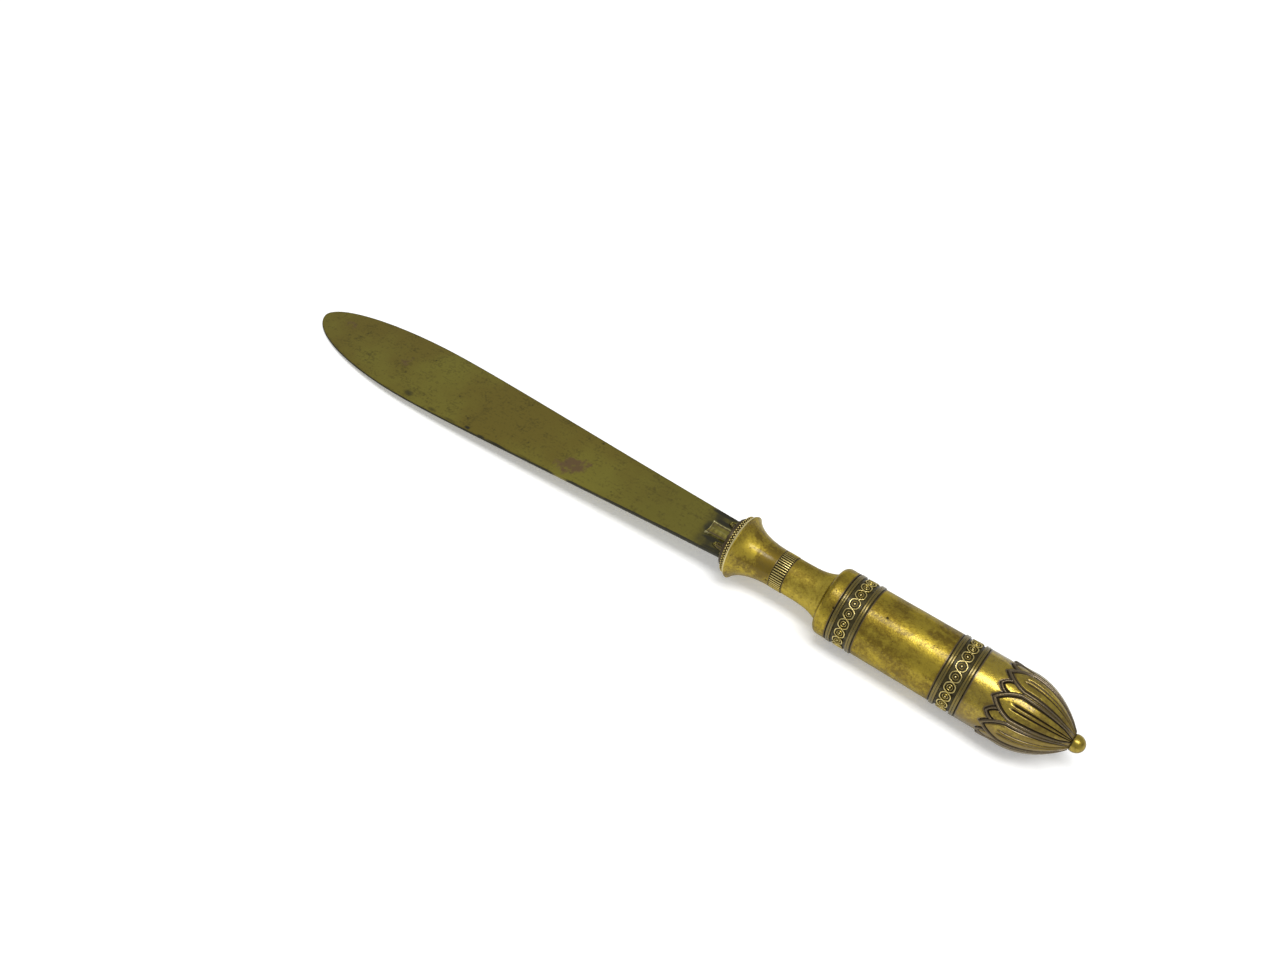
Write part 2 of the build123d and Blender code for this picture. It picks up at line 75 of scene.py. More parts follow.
class Tree:
    """A node tree, for a finish or for geometry, that is filled through one method."""

    def __init__(self, tree: bpy.types.NodeTree) -> None:
        """Take an empty node tree."""
        self.tree = tree

    def node(
        self, kind: str, settings: Settings | None = None, sockets: Sockets | None = None
    ) -> bpy.types.Node:
        """Add a node.

        Args:
            kind: Blender's name of the node's type.
            settings: the node's own settings, which are set first.
            sockets: values or links of its inputs, by name or by number.

        Returns:
            The new node.
        """
        node = self.tree.nodes.new(kind)
        for name, value in (settings or {}).items():
            setattr(node, name, value)
        for key, value in (sockets or {}).items():
            self.feed(node.inputs[key], value)
        return node

    def value(self, kind: str, settings: Settings, sockets: Sockets, output: str | int = 0) -> "Value":
        """Add a node and take one of its outputs as a number."""
        return Value(self, self.node(kind, settings, sockets).outputs[output])

    def feed(self, socket: bpy.types.NodeSocket, value: Any) -> None:
        """Link an input to another socket, or set its value.

        Args:
            socket: the input.
            value: a Value, a socket, or a plain number, colour or vector.
        """
        if isinstance(value, Value):
            value = value.socket
        if isinstance(value, bpy.types.NodeSocket):
            self.tree.links.new(value, socket)
        elif socket.type == "RGBA" and len(value) == 3:
            socket.default_value = (*value, 1.0)
        else:
            socket.default_value = value


class Value:
    """A number that changes over a surface: an expression on it adds Math nodes."""

    def __init__(self, tree: Tree, socket: bpy.types.NodeSocket) -> None:
        """Wrap a socket of a tree."""
        self.tree = tree
        self.socket = socket

    def _math(self, operation: str, first: Any, second: Any, clamp: bool = False) -> "Value":
        """Add one Math node, with its result kept between 0 and 1 if clamp is set."""
        settings = {"operation": operation, "use_clamp": clamp}
        return self.tree.value("ShaderNodeMath", settings, {0: first, 1: second})

    def __add__(self, other: Any) -> "Value":
        """Sum."""
        return self._math("ADD", self, other)

    def __radd__(self, other: Any) -> "Value":
        """Sum, from the right."""
        return self._math("ADD", other, self)

    def __sub__(self, other: Any) -> "Value":
        """Difference."""
        return self._math("SUBTRACT", self, other)

    def __rsub__(self, other: Any) -> "Value":
        """Difference, from the right."""
        return self._math("SUBTRACT", other, self)

    def __mul__(self, other: Any) -> "Value":
        """Product."""
        return self._math("MULTIPLY", self, other)

    def __rmul__(self, other: Any) -> "Value":
        """Product, from the right."""
        return self._math("MULTIPLY", other, self)

    def __truediv__(self, other: Any) -> "Value":
        """Quotient."""
        return self._math("DIVIDE", self, other)

    def __rtruediv__(self, other: Any) -> "Value":
        """Quotient, from the right."""
        return self._math("DIVIDE", other, self)

    def top(self, other: Any) -> "Value":
        """The larger of this and another value."""
        return self._math("MAXIMUM", self, other)

    def limited(self) -> "Value":
        """This value, kept between 0 and 1."""
        return self._math("ADD", self, 0.0, clamp=True)

    def rise(self, low: float, high: float) -> "Value":
        """A smooth step from 0 at low to 1 at high."""
        sockets = {"Value": self, "From Min": low, "From Max": high}
        return self.tree.value("ShaderNodeMapRange", {"interpolation_type": "SMOOTHSTEP"}, sockets)


class Paint(Tree):
    """The node tree of one material, with the few textures that the finishes share."""

    def __init__(self, name: str) -> None:
        """Start an empty material.

        Args:
            name: its name.
        """
        self.material = bpy.data.materials.new(name)
        self.material.use_nodes = True
        super().__init__(self.material.node_tree)
        self.tree.nodes.clear()
        self.place = self.node("ShaderNodeTexCoord").outputs["Object"]

    def stretched(self, scale: Place) -> bpy.types.NodeSocket:
        """The place on the object, stretched along the axes."""
        settings = {"operation": "MULTIPLY"}
        return self.node("ShaderNodeVectorMath", settings, {0: self.place, 1: scale}).outputs[0]

    def level(self) -> Value:
        """The height above the desk, in metres."""
        return self.value("ShaderNodeSeparateXYZ", {}, {0: self.place}, 2)

    def cloud(self, scale: float, detail: float, stretch: Place | None = None, rough: float = 0.55) -> Value:
        """Soft noise.

        Args:
            scale: waves in a metre.
            detail: how many finer waves lie on the coarse one.
            stretch: how the noise is stretched along the axes, if it is.
            rough: how strong the finer waves are.

        Returns:
            A value around a half.
        """
        vector = self.place if stretch is None else self.stretched(stretch)
        sockets = {"Vector": vector, "Scale": scale, "Detail": detail, "Roughness": rough}
        return self.value("ShaderNodeTexNoise", {}, sockets)

    def cells(self, scale: float) -> Value:
        """Distance to the nearest of scattered points, for pits and specks."""
        return self.value("ShaderNodeTexVoronoi", {}, {"Vector": self.place, "Scale": scale}, "Distance")

    def stored(self, name: str) -> Value:
        """A number that is stored on the piece's own points."""
        return self.value("ShaderNodeAttribute", {"attribute_name": name}, {}, "Fac")

    def mix(self, share: Any, first: Any, second: Any) -> bpy.types.NodeSocket:
        """Blend two colours, with share the part of the second one."""
        settings = {"data_type": "RGBA", "clamp_factor": True}
        return self.node("ShaderNodeMix", settings, {0: share, 6: first, 7: second}).outputs[2]

    def close(self, relief: Any, depth: float, sockets: Sockets) -> bpy.types.Material:
        """End the material in one shader.

        Args:
            relief: the height of its fine relief, from 0 to 1.
            depth: how deep that relief is, in millimetres.
            sockets: values or links of the shader's other inputs.

        Returns:
            The material.
        """
        grain = self.node("ShaderNodeBump", {}, {"Strength": 1.0, "Distance": depth * MM, "Height": relief})
        shader = self.node("ShaderNodeBsdfPrincipled", {}, sockets | {"Normal": grain.outputs[0]})
        self.node("ShaderNodeOutputMaterial", {}, {"Surface": shader.outputs[0]})
        return self.material


@dataclass(frozen=True)
class Brass:
    """Old lacquered brass: rubbed bright on crests, brown in its clouds, nearly black in its recesses, with
    painted shade that dulls its lower side where asked and a dark edge tint that paints shade into grazing
    reflections.
    """

    name: str
    bright: Colour = (0.39, 0.288, 0.028)
    dull: Colour = (0.18, 0.121, 0.011)
    rubbed: Colour = (0.68, 0.58, 0.28)
    tarnish: Colour = (0.115, 0.085, 0.048)
    grime: Colour = (0.022, 0.016, 0.007)
    # Painted shade: a dark edge tint that dims reflections at grazing angles.
    shaded_edge_tint: Colour = (0.35, 0.35, 0.3)
    sheen: float = 0.36
    cloud: float = 0.85
    pits: float = 0.9
    relief: float = 0.09
    lacquer: float = 0.3
    lacquer_sheen: float = 0.2
    # Painted shade: how strongly the colour is pushed to dull low down, from about 18 mm above the desk
    # downwards.
    painted_underside_shade: float = 0.0

    def material(self) -> bpy.types.Material:
        """Build the material.

        Returns:
            A material that reads the piece's hollows: above 0 dirt gathers, below 0 it is rubbed bright.
        """
        paint = Paint(self.name)
        broad = paint.cloud(120.0, 5.0)
        fine = paint.cloud(900.0, 4.0)
        grain = paint.cloud(2600.0, 3.0)
        lathe = paint.cloud(1.0, 3.0, (5200.0, 240.0, 240.0))
        speck = (1.0 - paint.cells(1500.0).rise(0.05, 0.24)) * fine.rise(0.5, 0.66)
        dent = (1.0 - paint.cells(230.0).rise(0.04, 0.11)) * broad.rise(0.46, 0.56)
        pit = speck.top(dent) * self.pits
        patch = broad.rise(0.36, 0.64) * self.cloud
        # Painted shade: 1 near the desk, falling to 0 between 8 and 18 mm up; it darkens the lower side through
        # film and stain.
        low = 1.0 - paint.level().rise(0.008, 0.018)
        worn = paint.stored(HOLLOW) + (fine - 0.5) * 0.3
        film = worn.rise(0.0, 0.3) + low * self.painted_underside_shade
        stain = (patch + film + (fine - 0.5) * 1.6 + (grain - 0.5) * 1.6).limited()
        crest = (0.0 - worn).rise(0.06, 0.35)
        brown = worn.rise(0.25, 0.6)
        black = worn.rise(0.55, 0.95).top(pit)
        colour = paint.mix(stain, self.bright, self.dull)
        colour = paint.mix(crest, colour, self.rubbed)
        colour = paint.mix(brown, colour, self.tarnish)
        colour = paint.mix(black, colour, self.grime)
        roughness = self.sheen + stain * 0.1 + (grain - 0.5) * 0.14 - crest * 0.07 - brown * 0.1 + black * 0.28
        sockets = {
            "Base Color": colour,
            "Roughness": roughness.limited(),
            "Metallic": 1.0 - brown * 0.15 - black * 0.5,
            "Specular IOR Level": 0.15,
            "Specular Tint": self.shaded_edge_tint,
            "Coat Weight": self.lacquer - black * self.lacquer,
            "Coat Roughness": self.lacquer_sheen,
        }
        height = (fine * 0.4 + grain * 0.4 + lathe * 0.2 - pit * 0.8).limited()
        return paint.close(height, self.relief, sockets)


@dataclass(frozen=True)
class BladeBrass:
    """Unpolished brass of the blade: dull olive, with brown clouds, one red-brown stain and dark edges."""

    name: str = "blade_patina"
    olive: Colour = (0.235, 0.207, 0.039)
    brown: Colour = (0.195, 0.153, 0.031)
    dark: Colour = (0.1, 0.082, 0.022)
    rust: Colour = (0.118, 0.075, 0.031)
    blackening: Colour = (0.03, 0.028, 0.016)
    relief: float = 0.022

    def material(self) -> bpy.types.Material:
        """Build the material.

        Returns:
            A material that reads the blade's hollows: above 0 it darkens towards near black, below 0 it takes a
            rust stain.
        """
        paint = Paint(self.name)
        broad = paint.cloud(34.0, 5.0)
        mid = paint.cloud(220.0, 6.0, rough=0.62)
        grain = paint.cloud(1500.0, 4.0)
        drawn = paint.cloud(1.0, 4.0, (120.0, 1800.0, 1800.0))
        pit = (1.0 - paint.cells(420.0).rise(0.05, 0.2)) * mid.rise(0.5, 0.62)
        hollow = paint.stored(HOLLOW)
        # Darker towards near black where the stored hollow is high: along both edges, in the listed spots and
        # towards the root; pits add to it.
        dirt = (hollow + (mid - 0.5) * 0.9).rise(0.3, 0.85)
        blot = ((mid - 0.5) * 2.4 - hollow).rise(0.3, 0.7) * (0.0 - hollow).rise(0.05, 0.3)
        colour = paint.mix(broad.rise(0.38, 0.6), self.olive, self.brown)
        haze = (mid - 0.5) * 2.2 + (grain - 0.5) * 2.6 + (drawn - 0.5) * 1.4
        colour = paint.mix(haze.limited(), colour, self.dark)
        colour = paint.mix(hollow.rise(0.0, 0.45) * 0.55, colour, self.dark)
        colour = paint.mix(blot, colour, self.rust)
        sockets = {
            "Base Color": paint.mix(dirt.top(pit * 0.7), colour, self.blackening),
            "Roughness": (0.42 + (grain - 0.5) * 0.2 + (mid - 0.5) * 0.24 + dirt * 0.15).limited(),
            "Metallic": 0.9 - blot * 0.5 - dirt * 0.4,
            "Specular IOR Level": 0.2,
        }
        height = (mid * 0.3 + grain * 0.35 + drawn * 0.4 - pit * 0.6).limited()
        return paint.close(height, self.relief, sockets)


@dataclass(frozen=True)
class TurnedSteel:
    """Plain steel of the rod and the pins, with fine turning marks."""

    name: str = "rod_steel"
    light: Colour = (0.56, 0.56, 0.57)
    dark: Colour = (0.34, 0.33, 0.32)

    def material(self) -> bpy.types.Material:
        """Build the material.

        Returns:
            Steel with marks of the lathe across the handle.
        """
        paint = Paint(self.name)
        lathe = paint.cloud(1.0, 3.0, (6000.0, 200.0, 200.0))
        film = paint.cloud(320.0, 4.0)
        colour = paint.mix(film.rise(0.4, 0.7), self.light, self.dark)
        sockets = {"Base Color": colour, "Roughness": 0.3 + film * 0.25, "Metallic": 1.0 - film * 0.1}
        return paint.close(lathe, 0.01, sockets)


@dataclass(frozen=True)
class CoreWood:
    """Plain hardwood of the core, with its grain along the handle."""

    name: str = "core_wood"
    pale: Colour = (0.52, 0.35, 0.2)
    dark: Colour = (0.27, 0.15, 0.07)

    def material(self) -> bpy.types.Material:
        """Build the material.

        Returns:
            Wood with long grain and short pores.
        """
        paint = Paint(self.name)
        grain = paint.cloud(1.0, 6.0, (60.0, 1400.0, 1400.0))
        pore = paint.cloud(1.0, 3.0, (300.0, 5200.0, 5200.0))
        colour = paint.mix(grain.rise(0.36, 0.66), self.pale, self.dark)
        sockets = {"Base Color": colour, "Roughness": 0.55 + pore * 0.2, "Metallic": 0.0}
        return paint.close(grain * 0.6 + pore * 0.4, 0.05, sockets)


@dataclass(frozen=True)
class PaleBoard:
    """Smooth white board under the opener, lit a little from below."""

    name: str = "pale_board"
    white: Colour = (0.93, 0.93, 0.925)
    warm: Colour = (0.9, 0.9, 0.89)
    glow: float = 0.22

    def material(self) -> bpy.types.Material:
        """Build the material.

        Returns:
            White board with a faint fibre.
        """
        paint = Paint(self.name)
        fibre = paint.cloud(700.0, 3.0)
        sockets = {
            "Base Color": paint.mix(fibre.rise(0.4, 0.7), self.white, self.warm),
            "Roughness": 0.75 + fibre * 0.1,
            "Metallic": 0.0,
            "Emission Color": (1.0, 1.0, 1.0),
            "Emission Strength": self.glow,
        }
        return paint.close(fibre, 0.01, sockets)


@dataclass
class Shape:
    """Points in millimetres, the faces between them, and how deep in a hollow each point lies."""

    points: Array
    faces: Faces
    hollow: Array

    def with_shape(self, other: "Shape") -> "Shape":
        """Both shapes as one.

        Args:
            other: the shape to add.

        Returns:
            A new shape with the points and faces of both.
        """
        start = len(self.points)
        moved = [tuple(index + start for index in face) for face in other.faces]
        points = np.vstack([self.points, other.points])
        return Shape(points, self.faces + moved, np.concatenate([self.hollow, other.hollow]))

    def piece(self, name: str, sharp: float = 50.0) -> bpy.types.Object:
        """Make a Blender object of the shape.

        Args:
            name: its name.
            sharp: the angle, in degrees, from which an edge is shaded sharp.

        Returns:
            The object, at the origin, with its place in its mesh.
        """
        mesh = bpy.data.meshes.new(name)
        mesh.from_pydata((self.points * MM).tolist(), [], self.faces)
        mesh.attributes.new(HOLLOW, "FLOAT", "POINT").data.foreach_set("value", self.hollow.astype(np.float32))
        work = bmesh.new()
        work.from_mesh(mesh)
        bmesh.ops.remove_doubles(work, verts=work.verts, dist=SAME_PLACE)
        bmesh.ops.dissolve_degenerate(work, edges=work.edges, dist=NO_LENGTH)
        bmesh.ops.recalc_face_normals(work, faces=work.faces)
        work.to_mesh(mesh)
        work.free()
        mesh.shade_smooth()
        mesh.set_sharp_from_angle(angle=radians(sharp))
        return placed(name, mesh)


def placed(name: str, data: bpy.types.ID) -> bpy.types.Object:
    """Put an object into the scene.

    Args:
        name: its name.
        data: its mesh, lamp or camera.

    Returns:
        The object.
    """
    made = bpy.data.objects.new(name, data)
    bpy.context.scene.collection.objects.link(made)
    return made


def unit(x: Array) -> Array:
    """Numbers kept between 0 and 1."""
    return np.clip(x, 0.0, 1.0)


def peak(x: Array, middle: float, width: float) -> Array:
    """Soft peak of height 1 at a middle."""
    return np.exp(-(((x - middle) / width) ** 2))


def near(x: Array, places: list[float], width: float) -> Array:
    """How close each x is to one of some places, from 0 to 1."""
    return np.max([peak(x, place, width) for place in places], axis=0)


def blotches(spots: Spots, first: Array, second: Array) -> Array:
    """Soft spots on a surface.

    Args:
        spots: the middle of each spot in both directions, its reach in both, and its strength.
        first: places in the first direction.
        second: places in the second direction.

    Returns:
        The strength at each place.
    """
    made = np.zeros_like(first)
    for one, two, long, wide, strength in spots:
        distance = ((first - one) / long) ** 2 + ((second - two) / wide) ** 2
        made = np.maximum(made, strength * np.exp(-(distance**2)))
    return made


def arc(middle: tuple[float, float], radius: float, angles: Iterable[float]) -> Profile:
    """Points of a circle in a profile, at angles in degrees from the tip's direction."""
    turns = [radians(angle) for angle in angles]
    return [(middle[0] + radius * cos(turn), middle[1] + radius * sin(turn)) for turn in turns]


def curve(controls: Profile, steps: int) -> Profile:
    """Points along a cubic curve.

    Args:
        controls: its four control points.
        steps: the number of stretches.

    Returns:
        The points, both ends included.
    """
    share = np.linspace(0.0, 1.0, steps + 1)[:, None]
    rest = 1.0 - share
    a, b, c, d = (np.array(point) for point in controls)
    line = rest**3 * a + 3 * rest**2 * share * b + 3 * rest * share**2 * c + share**3 * d
    return [tuple(point) for point in line]


def traced(x: Array, controls: Profile, steps: int) -> Array:
    """Heights of a cubic curve over places x."""
    line = np.array(curve(controls, steps))
    return np.interp(x, line[:, 0], line[:, 1])


def eased(corners: Profile, radius: float, steps: int = 4) -> Profile:
    """Closed profile with a small round on each sharp corner.

    Args:
        corners: the corners of the profile, in order.
        radius: how far from a corner its round starts.
        steps: the number of stretches in a round.

    Returns:
        The profile with its rounds.
    """
    nearly_straight = -0.93
    longest_share = 0.45
    made: Profile = []
    for index, corner in enumerate(corners):
        here = np.array(corner)
        back = np.array(corners[index - 1]) - here
        ahead = np.array(corners[(index + 1) % len(corners)]) - here
        spans = np.linalg.norm(back), np.linalg.norm(ahead)
        back, ahead = back / spans[0], ahead / spans[1]
        if np.dot(back, ahead) < nearly_straight:
            made.append(corner)
            continue
        cut = min(radius, longest_share * spans[0], longest_share * spans[1])
        for share in np.linspace(0.0, 1.0, steps + 1):
            made.append(tuple(here + (1 - share) ** 2 * back * cut + share**2 * ahead * cut))
    return made


def divided(profile: Profile, longest: float) -> Profile:
    """Closed profile whose long stretches are divided.

    Args:
        profile: the points of the profile.
        longest: the longest stretch that may stay.

    Returns:
        The profile with the added points.
    """
    made: Profile = []
    for start, end in zip(profile, profile[1:] + profile[:1]):
        run, climb = end[0] - start[0], end[1] - start[1]
        count = max(1, int(np.ceil(np.hypot(run, climb) / longest)))
        for step in range(count):
            made.append((start[0] + run * step / count, start[1] + climb * step / count))
    return made


def quads(rows: int, columns: int, wrap_rows: bool, wrap_columns: bool) -> Faces:
    """Faces of a grid of points.

    Args:
        rows: the number of rows.
        columns: the number of points in a row.
        wrap_rows: whether the last row meets the first.
        wrap_columns: whether a row's last point meets its first.

    Returns:
        The four corners of each face.
    """
    made = []
    for row in range(rows if wrap_rows else rows - 1):
        here, below = row * columns, (row + 1) % rows * columns
        for column in range(columns if wrap_columns else columns - 1):
            right = (column + 1) % columns
            made.append((here + column, here + right, below + right, below + column))
    return made


def grid(rows: int, columns: int) -> tuple[Array, Array]:
    """Places on a patch, row by row: from 0 to 1 along it, and from -1 to 1 across it."""
    spans = np.linspace(0.0, 1.0, rows), np.linspace(-1.0, 1.0, columns)
    return tuple(places.ravel() for places in np.meshgrid(*spans, indexing="ij"))


def closed_slab(upper: Array, lower: Array, columns: int, hollow: Array) -> Shape:
    """Closed shape between two grids of points.

    Args:
        upper: the points of one side, row by row.
        lower: the points of the other side.
        columns: the number of points in a row.
        hollow: how deep in a hollow the points of the upper side lie.

    Returns:
        The shape, with walls round its border.
    """
    count = len(upper)
    rows = count // columns
    faces = quads(rows, columns, False, False)
    faces += [tuple(index + count for index in reversed(face)) for face in faces]
    border = list(range(columns))
    border += [row * columns + columns - 1 for row in range(1, rows)]
    border += [(rows - 1) * columns + column for column in range(columns - 2, -1, -1)]
    border += [row * columns for row in range(rows - 2, 0, -1)]
    for start, end in zip(border, border[1:] + border[:1]):
        faces.append((end, start, start + count, end + count))
    return Shape(np.vstack([upper, lower]), faces, np.concatenate([hollow, np.ones(count)]))


def bump(rings: list[tuple[float, float, float]], sides: int, crown: tuple[float, float]) -> Shape:
    """Small closed bump on a flat ground.

    Args:
        rings: radius, height and hollow of each ring of points, from its foot up.
        sides: the number of points in a ring.
        crown: height and hollow of the point on top.

    Returns:
        The bump, with its middle at the origin.
    """
    size, height, hollow = (np.repeat(column, sides) for column in np.array(rings).T)
    angle = np.tile(np.arange(sides) * 2 * pi / sides, len(rings))
    points = np.column_stack([size * np.cos(angle), size * np.sin(angle), height])
    last, top = (len(rings) - 1) * sides, len(rings) * sides
    faces = quads(len(rings), sides, False, True)
    faces += [(last + step, last + (step + 1) % sides, top) for step in range(sides)]
    faces.append(tuple(range(sides - 1, -1, -1)))
    return Shape(np.vstack([points, (0.0, 0.0, crown[0])]), faces, np.append(hollow, crown[1]))


def waves(x: Array, turn: Array, seed: float) -> Array:
    """Slight unevenness of a worn surface, between about -1 and 1.

    Args:
        x: places along the handle, in millimetres.
        turn: angles round it, in radians.
        seed: shifts the pattern, so that no two pieces have the same.

    Returns:
        The unevenness at each place.
    """
    first = np.sin(0.9 * x + 2 * turn + seed) + np.sin(0.53 * x - 3 * turn + 2.1 * seed)
    second = np.sin(1.7 * x + 5 * turn + 1.3 * seed) + 0.7 * np.sin(2.6 * x - 7 * turn + 0.7 * seed)
    return (first + 0.6 * second) / 3.2


def turned(
    profile: Profile,
    grime: Callable[[Array, Array], Array] | float,
    wear: float = 0.0,
    seed: float = 0.0,
    steps: int = 144,
    stains_and_shade: Spots = (),
) -> Shape:
    """Ring turned from a closed profile round the handle's axis.

    Args:
        profile: its points as place along the handle and radius.
        grime: how deep in a hollow a place and radius lie, or one number for the whole ring.
        wear: the height of the unevenness, in millimetres.
        seed: the seed of the unevenness.
        steps: the number of points round the axis.
        stains_and_shade: brown spots, by place along the handle and angle from its top towards +Y, in degrees;
            real stains on the barrel, painted shade on the bell.

    Returns:
        The ring, closed round the axis and along its profile.
    """
    line = np.array(profile)
    x, radius = (np.repeat(column, steps) for column in line.T)
    turn = np.tile(np.arange(steps) * 2 * pi / steps, len(line))
    hollow = grime(x, radius) if callable(grime) else grime
    hollow = hollow + blotches(stains_and_shade, x, (np.degrees(turn) + 180.0) % 360.0 - 180.0)
    radius = radius + wear * (waves(x, turn, seed) - 1.0) * (radius > 0.01)
    points = np.column_stack([x, radius * np.sin(turn), AXIS_HEIGHT + radius * np.cos(turn)])
    return Shape(points, quads(len(line), steps, True, True), hollow)


class BandPlace(Enum):
    """The two ornamental bands, named by the CAD node that each stands for."""

    FRONT = "front_band"
    REAR = "rear_band"


@dataclass(frozen=True)
class Station:
    """Where a piece lies along the handle, in millimetres."""

    rear: float
    front: float

    @classmethod
    def of(cls, node: str) -> "Station":
        """Read a CAD node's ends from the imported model."""
        low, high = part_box(node)
        return cls(low.x / MM, high.x / MM)

    @property
    def middle(self) -> float:
        """Half way between the ends."""
        return (self.rear + self.front) / 2

    def ring(self, bore: float, rim: float) -> Profile:
        """Corners of a plain ring between the ends."""
        return [(self.rear, bore), (self.rear, rim), (self.front, rim), (self.front, bore)]


def on_blade(along: Array, side: Array, height: Array) -> Array:
    """Points of the model from places on the blade, which droops from the guard's face to the desk.

    Args:
        along: distances from the guard's face towards the tip, in millimetres.
        side: distances to the side, towards +Y.
        height: distances above the middle of the blade.

    Returns:
        One point a row.
    """
    x = Station.of("bell_guard").front + along * cos(DROOP) + height * sin(DROOP)
    z = AXIS_HEIGHT - along * sin(DROOP) + height * cos(DROOP)
    return np.column_stack([x, side, z])


@dataclass
class RingOfCopies:
    """Geometry Nodes tree that sets copies of a seed round the handle's axis."""

    copies: int
    first_turn: float = 0.0
    weld: float = 1e-6

    def build(self, seed: Shape, name: str, finish: bpy.types.Material) -> bpy.types.Object:
        """Make the ring.

        Args:
            seed: the shape to repeat, at the top of the ring and with its height taken from the axis.
            name: the name of the finished piece.
            finish: its material.

        Returns:
            The ring as one plain mesh.
        """
        made = seed.piece(name)
        modifier = made.modifiers.new("ring", "NODES")
        modifier.node_group, keys = self._tree(f"{name}_ring")
        inputs = {
            "Copies": self.copies,
            "First turn": radians(self.first_turn),
            "Axis height": AXIS_HEIGHT * MM,
            "Weld": self.weld,
            "Finish": finish,
        }
        for label, value in inputs.items():
            modifier[keys[label]] = value
        graph = bpy.context.evaluated_depsgraph_get()
        result = made.evaluated_get(graph)
        mesh = bpy.data.meshes.new_from_object(result, preserve_all_data_layers=True, depsgraph=graph)
        made.modifiers.clear()
        made.data = mesh
        mesh.name = name
        return made

    @staticmethod
    def _tree(name: str) -> tuple[bpy.types.NodeTree, dict[str, str]]:
        """Build the tree.

        Args:
            name: its name.

        Returns:
            The tree, and the identifier of each of its inputs by name.
        """
        group = bpy.data.node_groups.new(name, "GeometryNodeTree")
        kinds = {
            "Seed": "Geometry",
            "Copies": "Int",
            "First turn": "Float",
            "Axis height": "Float",
            "Weld": "Float",
            "Finish": "Material",
        }
        keys = {}
        for label, kind in kinds.items():
            socket = group.interface.new_socket(name=label, in_out="INPUT", socket_type=f"NodeSocket{kind}")
            keys[label] = socket.identifier
        group.interface.new_socket(name="Ring", in_out="OUTPUT", socket_type="NodeSocketGeometry")
        tree = Tree(group)
        given = tree.node("NodeGroupInput").outputs
        index = tree.value("GeometryNodeInputIndex", {}, {})
        turn = Value(tree, given["First turn"]) + index * (2 * pi) / given["Copies"]
        spin = tree.node("ShaderNodeCombineXYZ", {}, {"X": 0.0 - turn})
        lift = tree.node("ShaderNodeCombineXYZ", {}, {"Z": given["Axis height"]})
        spots = tree.node("GeometryNodeMeshLine", {}, {"Count": given["Copies"], "Offset": (0.0, 0.0, 0.0)})
        copied = {"Points": spots.outputs[0], "Instance": given["Seed"], "Rotation": spin.outputs[0]}
        made = tree.node("GeometryNodeInstanceOnPoints", {}, copied)
        for kind, sockets in (
            ("RealizeInstances", {}),
            ("Transform", {"Translation": lift.outputs[0]}),
            ("MergeByDistance", {"Distance": given["Weld"]}),
            ("SetMaterial", {"Material": given["Finish"]}),
        ):
            made = tree.node(f"GeometryNode{kind}", {}, {0: made.outputs[0]} | sockets)
        tree.node("NodeGroupOutput", {}, {0: made.outputs[0]})
        return group, keys


@dataclass
class SubAssembly(ABC):
    """A piece of the opener that stands for one CAD node, with any ornament on it."""

    node: ClassVar[str]
    slot: ClassVar[str]
    finish: bpy.types.Material

    @abstractmethod
    def build(self) -> Pieces:
        """Build the pieces, the one that stands for the node first."""

    def dress(self, pieces: Pieces) -> None:
        """Give the finish to pieces that have none yet.

        Args:
            pieces: the pieces to dress.
        """
        for made in pieces:
            if not made.data.materials:
                made.data.materials.append(self.finish)

    def install(self) -> None:
        """Build and dress the pieces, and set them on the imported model's body."""
        pieces = self.build()
        self.dress(pieces)
        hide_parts(self.node)
        for made in pieces:
            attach(made, "root")
            log.info("%s: %d faces", made.name, len(made.data.polygons))


@dataclass
class TurnedPiece(SubAssembly):
    """A piece turned from one profile, a little uneven from wear."""

    title: ClassVar[str]
    seed: ClassVar[float]
    ease: float = 0.12
    longest: float = 0.3
    wear: float = 0.02
    stains_and_shade: Spots = ()

    @abstractmethod
    def corners(self) -> Profile:
        """Corners of the closed profile, as place along the handle and radius."""

    @abstractmethod
    def hollow(self, x: Array, radius: Array) -> Array:
        """How deep in a hollow places on the profile lie."""

    def build(self) -> Pieces:
        """Turn the profile."""
        profile = divided(eased(self.corners(), self.ease), self.longest)
        return [turned(profile, self.hollow, self.wear, self.seed, stains_and_shade=self.stains_and_shade).piece(self.title)]


